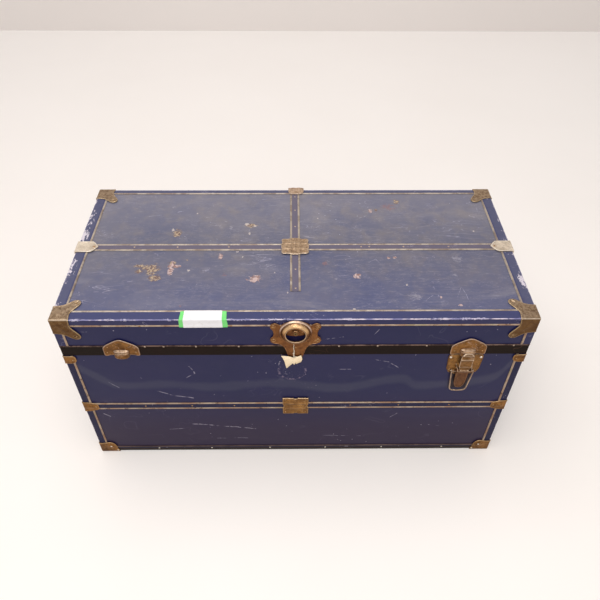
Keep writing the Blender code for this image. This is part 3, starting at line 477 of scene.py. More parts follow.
def navy(name, seed, outer, kind="side", strokes=(), wave=False):
    """Painted fibre over plywood, lined inside; outer(x, y, z) is 1 on the outside skin.

    kind is "top", "side", or "wall" for a side with bare plywood on its upper edge.
    """
    mat = Shader(name)
    top = kind == "top"
    big = mat.noise(5, detail=4, rough=0.6, distort=0.6, loc=(seed, seed * 0.7, 0))
    mid = mat.noise(24, detail=5, rough=0.62, distort=0.4, loc=(0, seed, 0))
    base = top_paint(mat, big, mid) if top else side_paint(mat, big, mid)
    hair = (mat.hairs(9, stretch=5, rot=(0.3, 0.2, 0.5), loc=(seed, 1, 2), width=0.010,
                      keep_scale=6, keep=0.56)
            | mat.hairs(14, stretch=4, rot=(0.1, 0.9, -0.7), loc=(2, seed, 5), width=0.008,
                        keep_scale=8, keep=0.58)
            | mat.hairs(30, stretch=3, rot=(0.6, 0.1, 1.3), loc=(4, 2, seed), width=0.012,
                        keep_scale=12, keep=0.62))
    base = base.paint(hair * (0.34 if top else 0.045), SCUFF)
    if top:
        base = top_wear(mat, base, seed)
    prick = mat.cells(70, loc=(seed, 0, seed)).step(0.085, 0.05)
    prick = prick * mat.noise(9, detail=2, rough=0.5, loc=(0, 0, seed + 3)).step(0.56, 0.62)
    base = base.paint(prick * 0.75, SCUFF)
    if strokes:
        marks = reduce(or_, [mat.stroke(*stroke) for stroke in strokes])
        marks = marks * mat.noise(130, detail=2, rough=0.6, loc=(seed, 3.1, 0)).step(0.36, 0.54)
        base = base.paint(marks * 0.50, SCUFF)
    if top:
        base, chips = top_chips(mat, base)
    if wave:
        base = front_marks(mat, base, big, mid)
    rough = big.lerp(0.26, 0.40) + mid * 0.12
    if top:
        rough = rough + 0.14
    rough = rough + hair * 0.12
    # plywood waves slowly under the covering, with fine orange peel over it
    plywood = mat.noise(detail=2, rough=0.5, distort=0.3, stretch=(5, 5, 9), loc=(seed, 0, 0))
    mat.bump(plywood, depth=0.006, strength=0.35)
    mat.bump(mat.noise(420, detail=2, rough=0.5), depth=0.00012, strength=0.25)
    mat.bump(hair * -1.0, depth=0.00015, strength=0.4)
    if top:
        mat.bump(chips * -1.0, depth=0.0004, strength=0.6)
    skin = outer(*mat.xyz)
    base = skin.fade(lining(mat, seed), base)
    if kind == "wall":
        base = base.paint(mat.xyz[2].above(347.4, 0.2), ply_edge(mat))
    return mat.finish(base, skin.lerp(0.8, rough), specular=0.42 if top else 0.30)


# ------------------------------------------------------------------ bindings
def upright_ridge(x, y, z):
    """1 on the vertical arrises."""
    return hypot(BINDING_X - abs(x), BINDING_Y - abs(y)).step(4.2, 0.6)


def lid_ridge(x, y, z):
    """1 on the lid's upper arrises."""
    down = 447.8 - z
    long_side = hypot(abs(BINDING_Y - abs(y)), down)
    short_side = hypot(abs(BINDING_X - abs(x)), down)
    return (long_side & short_side).step(4.0, 0.5)


def lid_bead(x, y, z):
    """1 on the lid binding's metal edges: on top, along the lower edge and on the corner posts."""
    side = y.above(0.0, 1.0).lerp(189.7, 197.7)
    top = z.above(446.7) & abs(x).below(433.75) & (abs(y) - side).step(0.15, -0.15)
    lower = z.below(433.75) & z.above(429.3)
    post = z.below(429.6) & (abs(x).below(440.95) | abs(y).below(196.45))
    return top | lower | post


def lid_fibre(mat, big):
    """Lid binding's fibre, faded on top and most at the ends and the rear."""
    x, y, z = mat.xyz
    upper = z.above(447.2, 0.4)
    fibre = big.fade((24, 28, 76), (34, 34, 78)).paint(upper * 0.6, (64, 70, 112))
    ends = upper * (abs(x).above(436.0, 3.0) | y.above(190.0, 2.0))
    return fibre.paint(ends * 0.75, (80, 82, 108))


def lid_binding_wear(mat, fibre, ragged, seed):
    """A thin pale line along the arris, part wear and part painted highlight, scratched patches round
    it and flakes at the ends.
    """
    x, y, z = mat.xyz
    ridge = lid_ridge(x, y, z)
    # pale arris line: part wear, part painted highlight
    line = (ridge + (ragged - 0.5) * 0.9).step(0.74, 0.90)
    line = line * mat.noise(30, rough=0.6, loc=(1, seed, 4)).step(0.28, 0.42)
    pale = mat.noise(26, detail=4, rough=0.7, loc=(6, 1, 2)).step(0.46, 0.62)
    fibre = fibre.paint(line * 0.9, pale.fade((132, 130, 172), (222, 210, 222)))
    where = (mat.noise(11, detail=2, rough=0.5, loc=(2, 3, seed)).step(0.48, 0.60)
             | abs(x - 352.0).step(46.0, 12.0) | abs(x + 402.0).step(22.0, 8.0))
    scribble = (mat.hairs(60, stretch=2.2, rot=(0.2, 0.3, 0.5), loc=(seed, 2, 1), width=0.030,
                          keep_scale=30, keep=0.40)
                | mat.hairs(46, stretch=2.5, rot=(0.9, 0.2, -0.6), loc=(4, seed, 1), width=0.030,
                            keep_scale=24, keep=0.42))
    # pale line along the rear arris: part wear, part painted highlight
    rear_arris_highlight = y.above(207.6, 0.8) * (z.above(446.8, 0.4) * ragged.step(0.34, 0.46))
    fibre = fibre.paint(rear_arris_highlight * 0.6, (182, 176, 180))
    near = ridge.step(0.0, 0.22) * (where * scribble)
    fibre = fibre.paint(near * 0.75, (196, 190, 212))
    # white flakes along the ends' arrises, a little more on the left
    edge = abs(x).above(441.0, 1.0) * z.above(440.0, 1.0)
    outer_side = abs(x).step(440.0, 455.0)
    lump = mat.noise(detail=4, rough=0.7, distort=0.6, stretch=(120, 60, 110), loc=(seed, 0, 3))
    patch = mat.noise(13, detail=2, rough=0.6, loc=(0, 5, seed))
    left = x.math("LESS_THAN", 0.0) * 0.035
    level = lump + left + (outer_side * 0.10 + (patch - 0.5) * 0.45)
    flakes = edge * level.step(0.66, 0.70)
    return fibre.paint(flakes * 0.92, (212, 204, 214)), line | flakes


def upright_wear(mat, fibre, ragged, seed):
    chip = (upright_ridge(*mat.xyz) + (ragged - 0.5) * 1.9).step(0.80, 0.92)
    chip = chip * mat.noise(16, rough=0.6, loc=(1, seed, 4)).step(0.42, 0.58)
    return fibre.paint(chip * 0.56, (160, 150, 170)), chip


def bead_tone(mat, seed, on_lid):
    """Colour of the rolled gold edge, greyer on top of the lid."""
    patchy = mat.noise(30, detail=4, rough=0.65, distort=0.3, loc=(seed, 4, 0))
    tone = patchy.step(0.35, 0.68).fade(GOLD, GOLD_PALE)
    dark = mat.noise(75, detail=4, rough=0.7, loc=(2, seed, 1)).step(0.54, 0.70)
    tone = tone.paint(dark, GOLD_DARK)
    green = mat.noise(26, rough=0.6, loc=(5, 1, seed)).step(0.60, 0.70)
    tone = tone.paint(green * 0.6, (150, 142, 110))
    if on_lid:
        grey = mat.noise(44, detail=4, rough=0.7, loc=(seed, 7, 1)).step(0.40, 0.62)
        tone = tone.paint(mat.xyz[2].above(440.0, 1.0) * 0.78,
                          grey.fade((190, 180, 166), (136, 124, 116)))
    return tone


def binding(name, seed, bead, kind="plain"):
    """Navy fibre binding with rolled, worn gold edges; bead(x, y, z) is 1 on the metal.

    kind is "plain", "upright", "bottom", "lid" or "strip" (the strips that cross the lid).
    """
    mat = Shader(name)
    strip = kind == "strip"
    on_lid = kind in ("lid", "strip")
    big = mat.noise(7, detail=4, rough=0.6, distort=0.4, loc=(seed, 0, seed))
    mid = mat.noise(60, detail=4, rough=0.62, distort=0.2, loc=(0, seed, 0))
    if kind == "lid":
        fibre = lid_fibre(mat, big)
    elif strip:
        fibre = big.fade((86, 84, 108), (104, 94, 106))
    else:
        fibre = big.fade((16, 19, 58), (26, 26, 62))
    fibre = fibre.paint(mid.step(0.52, 0.7) * 0.30, (96, 92, 110) if strip else (58, 56, 88))
    hair = mat.hairs(26, stretch=3, rot=(0.4, 0.2, 0.9), loc=(seed, 1.5, 2.5), width=0.012,
                     keep_scale=14, keep=0.56)
    fibre = fibre.paint(hair * 0.30, SCUFF)
    wear = {"lid": lid_binding_wear, "upright": upright_wear}.get(kind)
    if wear:
        ragged = mat.noise(90, detail=4, rough=0.7, distort=0.5, loc=(seed, seed, 0))
        fibre, chip = wear(mat, fibre, ragged, seed)
    flake = mat.cells(120, loc=(seed, 2, 0)).step(0.16, 0.1)
    flake = flake * mat.noise(18, detail=2, rough=0.5, loc=(3, 0, seed)).step(0.60, 0.66)
    fibre = fibre.paint(flake * 0.6, (190, 184, 198))
    metal = bead(*mat.xyz)
    if kind == "bottom":
        # the bottom bead has a duller, darker tone
        bottom_mottle = mat.noise(30, detail=4, rough=0.65, distort=0.3, loc=(seed, 4, 0))
        tone = bottom_mottle.step(0.35, 0.68).fade((104, 86, 80), (72, 58, 58))
        # painted shadow on the fibre along the floor, below 13 mm
        fibre = fibre.paint(mat.xyz[2].below(13.0, 2.0), (38, 27, 27))
    else:
        tone = bead_tone(mat, seed, on_lid)
    dents = mat.noise(rough=0.6, stretch=(40, 40, 40), loc=(seed, 0, 0))
    mat.bump(dents, depth=0.0012, strength=0.35)
    mat.bump(mat.noise(600, detail=2, rough=0.5), depth=0.0001, strength=0.3)
    if wear:
        mat.bump(chip * -1.0, depth=0.0003, strength=0.6)
    rough = metal.lerp(0.36 + mid * 0.2, 0.30 + mid * 0.28)
    return mat.finish(metal.fade(fibre, tone), rough, metal * 0.5, 0.42 if on_lid else 0.25)


# ------------------------------------------------------------------ brass, wood, leather, paper
# tint: bright, middle and deep colours, and a pale one for scratches, edge wear and painted
# highlights on edges
PALETTES = {
    "brass": ((154, 108, 55), (110, 73, 35), (52, 33, 20), (202, 162, 108)),
    "pale": ((238, 224, 204), (200, 184, 162), (124, 106, 88), (246, 238, 226)),
    "olive": ((138, 108, 66), (104, 78, 44), (58, 42, 26), (206, 180, 136)),
    "wire": ((200, 174, 150), (142, 116, 98), (58, 42, 34), (242, 224, 204)),
    "cross": ((194, 162, 126), (154, 120, 88), (92, 66, 47), (228, 208, 186)),
    "red": ((142, 93, 49), (110, 68, 37), (54, 33, 21), (222, 176, 126)),
    "catch": ((154, 108, 55), (110, 73, 35), (52, 33, 20), (220, 192, 172)),
    "gold": ((166, 120, 62), (122, 84, 44), (54, 35, 21), (220, 184, 136)),
    "hook": ((146, 105, 58), (112, 77, 42), (50, 32, 20), (255, 232, 206)),
    "fold": ((222, 192, 166), (196, 162, 138), (122, 90, 72), (240, 220, 200)),
    "umber": ((126, 84, 52), (98, 64, 40), (46, 28, 20), (160, 120, 82)),
    "nail": ((160, 136, 116), (120, 94, 80), (64, 46, 40), (206, 186, 168))}
# tones for dust and the painted highlight on upward faces: bright and dim
DUST_AND_HIGHLIGHT = ((188, 166, 142), (128, 104, 82))
RED_DUST_AND_HIGHLIGHT = ((226, 186, 142), (150, 108, 76))
METALLIC = {"pale": 0.6, "nail": 0.55}  # every other tint has 0.80


def cap_highlight_and_shade(mat, base):
    """Painted highlight, almost white, along the lid corner's arris over the front; painted shade
    darkens the face below.
    """
    _, y, z = mat.xyz
    # painted highlight along the front arris
    arris = abs(z - 449.2).step(2.2, 0.9) * abs(y + 211.8).step(2.2, 0.9)
    base = base.paint(arris * 0.85, (226, 212, 196))
    # painted shade on the front face below
    front = y.below(-211.2, 0.5) * z.below(447.6, 1.2)
    return base.paint(front * 0.50, (86, 50, 24))


def ring_highlight_and_shade(mat, base):
    """The lock's ring gets a painted highlight on the upper half of its bead and dome, painted shade
    in the groove between, and a pale lip all round.
    """
    x, _, z = mat.xyz
    rise = z - LOCK_Z
    radius = hypot(x, rise)
    # high is 1 on the ring's upper half, where the painted highlight goes
    high = rise.math("DIVIDE", radius).step(-0.05, 0.62)
    base = base.paint(radius.step(28.2, 29.2) * high * 0.90, (240, 216, 202))
    # painted shade in the groove
    base = base.paint(radius.step(26.2, 26.9) * radius.step(28.4, 27.7) * 0.8, (48, 31, 20))
    dome_band = radius.step(26.2, 25.0) * radius.step(20.6, 21.6)
    base = base.paint(dome_band * (high * 0.92), (240, 198, 144))
    return base.paint(radius.step(20.6, 19.8) * 0.75, (216, 190, 160))


def brass(name, seed, tint="brass", dark=0.5, edge=True, extra_highlight_and_shade=None):
    """Stamped brass dulled brown, brighter along its scratches; edge also rubs its sharp edges, with
    a painted highlight where they face up.
    """
    bright, middle, deep, wear_and_highlight = PALETTES[tint]
    mat = Shader(name)
    loc = (seed * 1.3, seed * 0.7, seed * 2.1)
    big = mat.noise(38, detail=5, rough=0.66, distort=0.4, loc=loc)
    small = mat.noise(190, detail=5, rough=0.7, distort=0.2, loc=loc)
    spots = mat.noise(120, rough=0.62, loc=(seed, 0, 0)).step(0.58, 0.72)
    base = big.step(0.34, 0.66).fade(bright, middle)
    base = base.paint(small.step(0.46, 0.70) * dark, deep)
    base = base.paint(spots * (0.55 * dark), deep)
    scratches = mat.hairs(70, stretch=4, rot=(0.4, 0.7, 1.2), loc=loc, width=0.02,
                          keep_scale=30, keep=0.48)
    base = base.paint(scratches * 0.34, wear_and_highlight)
    # extra painted highlight and shade given by the caller
    if extra_highlight_and_shade:
        base = extra_highlight_and_shade(mat, base)
    if edge:
        # sharp edges get edge wear, stronger where they face up as a painted highlight
        point = mat.source("ShaderNodeNewGeometry", "Pointiness").step(0.505, 0.56)
        base = base.paint(point * mat.facing(2).step(0.05, 0.45).lerp(0.38, 0.85), wear_and_highlight)
    if tint not in METALLIC:
        # dust and a painted highlight lighten what looks upwards; painted shade darkens what looks
        # down
        upward = mat.facing(2)
        dust_and_highlight = small.step(0.4, 0.66).fade(*(RED_DUST_AND_HIGHLIGHT if tint == "red" else DUST_AND_HIGHLIGHT))
        base = base.paint(upward.step(0.12, 0.8) * (0.66 if extra_highlight_and_shade is cap_highlight_and_shade else 0.55), dust_and_highlight)
        base = base.paint(upward.step(-0.08, -0.6) * 0.55, deep)
    mat.bump(mat.noise(55, detail=2, rough=0.5, loc=loc), depth=0.0012, strength=0.45)
    mat.bump(small, depth=0.0003, strength=0.35)
    mat.bump(scratches, depth=0.0001, strength=0.4)
    rough = big.lerp(0.30, 0.46) + (small - 0.5) * 0.25
    return mat.finish(base, rough, METALLIC.get(tint, 0.80))


def band_material():
    """Black closing band with a thin gold upper edge."""
    mat = Shader("closing_band_black")
    big = mat.noise(12, detail=4, rough=0.6, distort=0.3)
    run = mat.noise(rough=0.6, stretch=(12, 12, 260))
    base = big.fade((30, 12, 4), (14, 7, 3)).paint(run.step(0.52, 0.7) * 0.4, (40, 26, 20))
    hair = mat.hairs(40, stretch=3, rot=(0.9, 0.3, 0.2), loc=(3, 1, 2), width=0.014,
                     keep_scale=16, keep=0.58)
    base = base.paint(hair * 0.35, (120, 84, 62))
    gold = mat.xyz[2].above(373.0, 0.12)
    tone = mat.noise(60, detail=4, rough=0.66).step(0.42, 0.62)
    base = base.paint(gold, tone.fade((120, 98, 88), (66, 50, 48)))
    mat.bump(run, depth=0.0004, strength=0.4)
    mat.bump(mat.noise(300, detail=2, rough=0.5), depth=0.0001, strength=0.3)
    return mat.finish(base, gold.lerp(0.40 + run * 0.2, 0.5), gold * 0.3, specular=0.12)


def wood(name, seed, light, dark):
    """Wood with its grain along x."""
    mat = Shader(name)
    grain = mat.noise(detail=5, rough=0.65, distort=1.6, stretch=(9, 60, 60), loc=(seed, 0, 0))
    pores = mat.noise(rough=0.6, stretch=(81, 540, 540), loc=(0, seed, 0))
    base = grain.step(0.3, 0.7).fade(light, dark)
    base = base.paint(pores.step(0.55, 0.7) * 0.5, (60, 40, 26))
    base = base.paint(mat.noise(14, detail=4, rough=0.6).step(0.5, 0.7) * 0.35, (84, 66, 50))
    mat.bump(grain, depth=0.0006, strength=0.4)
    mat.bump(pores, depth=0.0003, strength=0.4)
    return mat.finish(base, 0.62 + grain * 0.15)


def tray_material():
    """Lining paper over board, with a navy rim."""
    mat = Shader("tray_paper_board")
    base = lining(mat, 3.0).paint(mat.xyz[2].above(335.0, 0.4), (52, 56, 92))
    mat.bump(mat.noise(30, detail=4, rough=0.6), depth=0.0006, strength=0.3)
    mat.bump(mat.noise(700, detail=2, rough=0.5), depth=0.0001, strength=0.4)
    return mat.finish(base, 0.78)


def handle_material(seed):
    """Wire loop with a leather grip in the middle."""
    mat = Shader("handle_leather_%d" % seed)
    grip = abs(mat.xyz[1]).below(36.3, 0.1)
    crease = mat.cells(420, feature="DISTANCE_TO_EDGE", loc=(seed, 0, 0)).step(0.0, 0.12)
    big = mat.noise(30, detail=4, rough=0.6, distort=0.3)
    leather = big.fade((82, 48, 30), (54, 32, 22)).paint(crease.inverse(), (34, 20, 14))
    patchy = mat.noise(60, detail=4, rough=0.65).step(0.56, 0.72)
    leather = leather.paint(patchy * 0.5, (132, 88, 58))
    steel = mat.noise(120, detail=4, rough=0.65).step(0.4, 0.68)
    base = grip.fade(steel.fade((150, 120, 84), (70, 52, 38)), leather)
    mat.bump(crease * grip, depth=0.0004, strength=0.5)
    mat.bump(mat.noise(260, rough=0.6), depth=0.0002, strength=0.3)
    return mat.finish(base, grip.lerp(0.36, 0.48 + big * 0.2), grip.inverse() * 0.85)


def paper_material(name, colour, mottled, rough):
    mat = Shader(name)
    base = mat.noise(45, detail=4, rough=0.6, distort=0.2).fade(colour, mottled)
    base = base.paint(mat.noise(140, rough=0.6).step(0.58, 0.72) * 0.25, (170, 160, 140))
    mat.bump(mat.noise(80, rough=0.6, distort=0.6), depth=0.0006, strength=0.35)
    mat.bump(mat.noise(900, rough=0.6), depth=0.0001, strength=0.3)
    return mat.finish(base, rough, specular=0.25)


def string_material():
    mat = Shader("string_cotton")
    x, _, z = mat.xyz
    mat.bump(((z + x) * 6.0).math("SINE"), depth=0.0003, strength=0.6)
    return mat.finish(mat.noise(220).fade((236, 226, 208), (188, 172, 148)), 0.85)


# ------------------------------------------------------------------ materials on the CAD nodes
def dress(node, material, bevel=0.0):
    obj = NODES[node]
    obj.data.materials.clear()
    obj.data.materials.append(material)
    if bevel:
        mod = obj.modifiers.new("soft_edges", "BEVEL")
        mod.width = bevel * MM
        mod.segments = 2
        mod.limit_method = "ANGLE"
        mod.angle_limit = math.radians(32)
        mod.use_clamp_overlap = True
        mod.harden_normals = True


def dress_brass(labels, rows):
    """Brass for one node of each row per label; the seed goes up by one per label."""
    for i, label in enumerate(labels):
        for node, name, seed, tint, dark, slot, bevel in rows:
            dress(node + label, brass(name + label, seed + i, tint, dark, edge=False), bevel)


for node, material, bevel in (
        ("body_front_panel", navy("front_skin", 1.0, lambda x, y, z: y.below(-208.6), "wall",
                                  on_front(FRONT_HAIRS), wave=True), 0.4),
        ("body_back_panel", navy("back_skin", 2.3, lambda x, y, z: y.above(208.6), "wall"), 0.4),
        ("body_left_panel", navy("left_skin", 3.7, lambda x, y, z: x.below(-453.1), "wall"), 0.4),
        ("body_right_panel", navy("right_skin", 4.9, lambda x, y, z: x.above(453.1), "wall"), 0.4),
        ("body_bottom_panel", navy("bottom_skin", 5.5, lambda x, y, z: z.below(3.9)), 0.3),
        ("lid_rim", navy("lid_rim_skin", 6.1,
                         lambda x, y, z: abs(x).above(453.1) | abs(y).above(208.6),
                         strokes=on_front(RIM_HAIRS)), 0.4),
        ("lid_top_panel", navy("lid_top_skin", 7.4, lambda x, y, z: z.above(446.1), "top",
                               on_top(TOP_HAIRS)), 0.4)):
    dress(node, material, bevel)

STRIP_BEAD = 6.35  # the gold starts this far from a strip's middle
for i, label in enumerate(CORNER_LABELS):
    upright = binding("upright_binding_" + label, 1.1 + i,
                      lambda x, y, z: abs(x).below(440.75) | abs(y).below(196.25), "upright")
    dress("edge_binding_" + label, upright, 0.25)
dress("bottom_edge_binding", binding("bottom_binding", 8.2, lambda x, y, z: z.above(16.3), "bottom"),
      0.25)
for i, label in enumerate(("front", "back", "left", "right")):
    belt = binding("belt_binding_" + label, 3.3 + i,
                   lambda x, y, z: abs(z - BELT_Z).above(STRIP_BEAD))
    dress("belt_strip_" + label, belt, 0.2)
dress("lid_edge_binding", binding("lid_binding", 5.6, lid_bead, "lid"), 0.25)
dress("lid_long_strip", binding("long_strip_binding", 6.6,
                                lambda x, y, z: abs(y).above(STRIP_BEAD), "strip"),
      0.2)
dress("lid_cross_strip", binding("cross_strip_binding", 7.7,
                                 lambda x, y, z: abs(x).above(STRIP_BEAD), "strip"),
      0.2)
dress("lid_closing_band", band_material(), 0.2)

# node, material, seed, tint, darkness, slot, bevel
dress_brass(CORNER_LABELS, (
    ("lid_corner_", "corner_brass_", 11.0, "olive", 0.55, "brass", 0.45),
    ("bottom_corner_", "toe_brass_", 21.0, "brass", 0.6, "brass", 0.5),
    ("belt_clip_", "clip_brass_", 31.0, "brass", 0.6, "brass", 0.45)))
dress_brass(SIDE_LABELS, (
    ("rim_cap_front_", "rim_brass_", 41.0, "brass", 0.55, "brass", 0.45),
    ("lid_end_clamp_", "clamp_metal_", 43.0, "pale", 0.35, "pale_metal", 0.4),
    ("draw_bolt_catch_", "catch_brass_", 45.0, "brass", 0.5, "brass", 0.4),
    ("handle_plate_", "handle_plate_brass_", 47.0, "brass", 0.6, "brass", 0.35),
    ("hinge_body_leaf_", "hinge_metal_", 49.0, "olive", 0.7, "steel", 0.3),
    ("hinge_lid_leaf_", "hinge_upper_metal_", 51.0, "olive", 0.7, "steel", 0.3)))
dress_brass(("",), (
    ("belt_plate", "belt_plate_brass", 61.0, "brass", 0.5, "brass", 0.35),
    ("lid_cross_plate", "cross_plate_brass", 62.0, "olive", 0.35, "brass", 0.35),
    ("lid_rear_clip", "rear_clip_brass", 63.0, "pale", 0.4, "brass", 0.35),
    ("lock_plate", "lock_brass", 64.0, "red", 0.45, "brass", 0.3),
    ("lock_cylinder", "cylinder_brass", 65.0, "olive", 0.4, "brass", 0.25),
    ("draw_bolt_base", "bolt_base_brass", 66.0, "gold", 0.6, "brass", 0.3),
    ("draw_bolt_lever", "bolt_lever_brass", 67.0, "umber", 0.6, "brass", 0.3),
    ("draw_bolt_hook", "bolt_hook_brass", 68.0, "brass", 0.45, "brass", 0.3),
    ("draw_bolt_bail", "bail_wire", 69.0, "wire", 0.6, "steel", 0.0),
    ("stay_lower_link", "stay_metal_lower", 71.0, "olive", 0.6, "steel", 0.2),
    ("stay_upper_link", "stay_metal_upper", 72.0, "olive", 0.6, "steel", 0.2)))
dress("bottom_slat", wood("slat_wood", 1.0, light=(160, 122, 84), dark=(112, 80, 54)),
      0.8)
dress("tray_ledge", wood("ledge_wood", 2.0, light=(186, 150, 106), dark=(140, 104, 68)),
      0.4)
dress("lift_out_tray", tray_material(), 0.6)
dress("handle_left", handle_material(1))
dress("handle_right", handle_material(2))

# ------------------------------------------------------------------ mesh helpers
X_AXIS, Y_AXIS, Z_AXIS = Vector((1, 0, 0)), Vector((0, 1, 0)), Vector((0, 0, 1))
# each face's own two axes, its outward normal and its distance from the origin
FACES = {"front": (X_AXIS, Z_AXIS, -Y_AXIS, HALF_Y), "back": (X_AXIS, Z_AXIS, Y_AXIS, HALF_Y),
         "left": (Y_AXIS, Z_AXIS, -X_AXIS, HALF_X), "right": (Y_AXIS, Z_AXIS, X_AXIS, HALF_X),
         "top": (X_AXIS, Y_AXIS, Z_AXIS, TOP)}


def spot(face, along, across, proud):
    """A point on a face, so far proud of the panel."""
    first, second, out, distance = FACES[face]
    return first * along + second * across + out * (distance + proud)


def angles(count):
    return [2 * math.pi * i / count for i in range(count)]


def circle(x, y, radius, count):
    return [(x + radius * math.cos(turn), y + radius * math.sin(turn)) for turn in angles(count)]


def ripple(*place):
    return noise.noise(Vector(place))


def clamp(value):
    return min(1.0, max(0.0, value))


def ease(value):
    value = clamp(value)
    return value * value * (3 - 2 * value)


def ridge(offset, width):
    """Rounded ridge of height 1 across offset 0."""
    return math.exp(-(offset / width) ** 2)


def hill(x, y, centre, radii, power=1.0):
    """Rounded hill of height 1 over an ellipse."""
    reach = ((x - centre[0]) / radii[0]) ** 2 + ((y - centre[1]) / radii[1]) ** 2
    return (1.0 - reach) ** power if reach < 1 else 0.0


def quarter_round(distance, width):
    """Rises in a quarter circle from 0 at an edge to 1 at width."""
    return math.sqrt(max(0.0, 1.0 - (1.0 - min(1.0, distance / width)) ** 2))


def skin(shape, loops, ring=True, wrap=False, flip=False):
    """Quads between loops; ring closes each loop, wrap joins the last loop to the first."""
    for one, two in zip(loops, loops[1:] + (loops[:1] if wrap else [])):
        count = len(one)
        for i in range(count if ring else count - 1):
            j = (i + 1) % count
            quad = (one[i], one[j], two[j], two[i])
            shape.faces.new(tuple(reversed(quad)) if flip else quad)


def make(shape, name, material, body, merge=0.0):
    """Turns a bmesh in millimetres into an object that rides on a body."""
    if merge:
        bmesh.ops.remove_doubles(shape, verts=shape.verts, dist=merge)
    bmesh.ops.recalc_face_normals(shape, faces=shape.faces)
    bmesh.ops.scale(shape, vec=Vector((MM, MM, MM)), verts=shape.verts)
    mesh = bpy.data.meshes.new(name)
    shape.to_mesh(mesh)
    shape.free()
    obj = bpy.data.objects.new(name, mesh)
    bpy.context.scene.collection.objects.link(obj)
    mesh.materials.append(material)
    mesh.shade_smooth()
    mesh.set_sharp_from_angle(angle=math.radians(50))
    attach(obj, body)
    return obj


def thicken(obj, thickness, offset=0.0):
    mod = obj.modifiers.new("thickness", "SOLIDIFY")
    mod.thickness = thickness * MM
    mod.offset = offset


# ------------------------------------------------------------------ nails and rivets
DOME_RINGS = [(1.0, -0.3), (1.0, 0.12), (0.93, 0.42), (0.72, 0.76), (0.40, 0.95)]  # radius, rise


def dome(shape, face, along, across, proud, radius, height, steps=12):
    """A nail or rivet head: a low dome with a rolled rim, seated 0.3 mm into what it holds."""
    first, second, out, _ = FACES[face]
    centre = spot(face, along, across, proud)
    wobble = random.uniform(-0.04, 0.04)
    loops = []
    for reach, rise in DOME_RINGS:
        lift = out * (rise * height if rise > 0 else -0.3)
        loops.append([
            shape.verts.new(centre + (first * math.cos(turn) * (1 + wobble)
                                      + second * math.sin(turn)) * radius * reach + lift)
            for turn in angles(steps)])
    tip = shape.verts.new(centre + out * height)
    skin(shape, loops)
    for i in range(steps):
        shape.faces.new((loops[-1][i], loops[-1][(i + 1) % steps], tip))
    shape.faces.new(list(reversed(loops[0])))


def studs(faces, along, across, size):
    """Heads at every crossing of along and across, size being (proud, radius, height)."""
    return [(face, a, b, *size) for face in faces.split() for a in along for b in across]


def heads(name, body, material, items):
    shape = bmesh.new()
    for item in items:
        dome(shape, *item)
    make(shape, name, material, body)


nail_brass = brass("nail_brass", 81.0, "brass", 0.35)
nail_pale = brass("nail_pale", 82.0, "pale", 0.3)
nail_dark = brass("nail_dark", 83.0, "brass", 0.9)
nail_dull = brass("nail_dull", 84.0, "nail", 0.7)

# sizes of head: how far proud it sits, radius, height
BAND_NAIL = (1.75, 2.0, 1.0)
EDGE_NAIL = (1.85, 1.8, 0.7)
STRIP_NAIL = (1.15, 1.9, 0.8)
BELT_NAIL = (1.15, 1.8, 0.8)
BOTTOM_NAIL = (1.15, 1.9, 0.9)
ON_CAP = 3.4
TOE_RIVET = (ON_CAP, 2.6, 1.3)
CAP_NAIL = (ON_CAP, 2.0, 0.9)
SMALL_CAP_NAIL = (ON_CAP, 1.8, 0.9)
RIM_NAIL = (ON_CAP, 1.8, 0.8)
CLIP_NAIL = (ON_CAP, 1.7, 0.7)
LEAF_X = (-22, 0, 22)  # rivets across a hinge leaf

heads("band_nails", "lid", nail_dull,
      studs("front", (-291, -255, -192.5, -110, 84, 159, 254.5, 424), (373.2,), BAND_NAIL)
      + studs("back", (-410, -235, -170, -60, 60, 170, 235, 410), (373.2,), BAND_NAIL)
      + studs("left right", (-160, -80, 0, 80, 160), (373.2,), BAND_NAIL))
heads("lid_edge_nails", "lid", nail_dark,
      studs("front", (-291, -120, 139, 288, 380), (431.5,), EDGE_NAIL)
      + studs("back", (-330, -200, -80, 80, 200, 330), (431.5,), EDGE_NAIL)
      + studs("left right", (-120, 120), (431.5,), EDGE_NAIL))
heads("lid_strip_nails", "lid", nail_dull,
      studs("top", (-336, -246, -139, 139, 156, 228, 323), (0.6,), STRIP_NAIL)
      + studs("top", (0.4,), (-126, -70, 70, 130, 182), STRIP_NAIL))
heads("belt_nails", "root", nail_dark,
      studs("front", (-323, -223, -132, 118.5, 223, 333), (178.6,), BELT_NAIL)
      + studs("back", (-360, -240, -120, 0, 120, 240, 360), (BELT_Z,), BELT_NAIL)
      + studs("left right", (-130, -45, 45, 130), (BELT_Z,), BELT_NAIL))
heads("bottom_nails", "root", nail_pale,
      studs("front", (-320, -196.5, -60, 70, 202.5, 345), (11.5,), BOTTOM_NAIL)
      + studs("back", (-320, -200, -70, 70, 200, 320), (11.5,), BOTTOM_NAIL)
      + studs("left right", (-110, 0, 110), (11.5,), BOTTOM_NAIL))

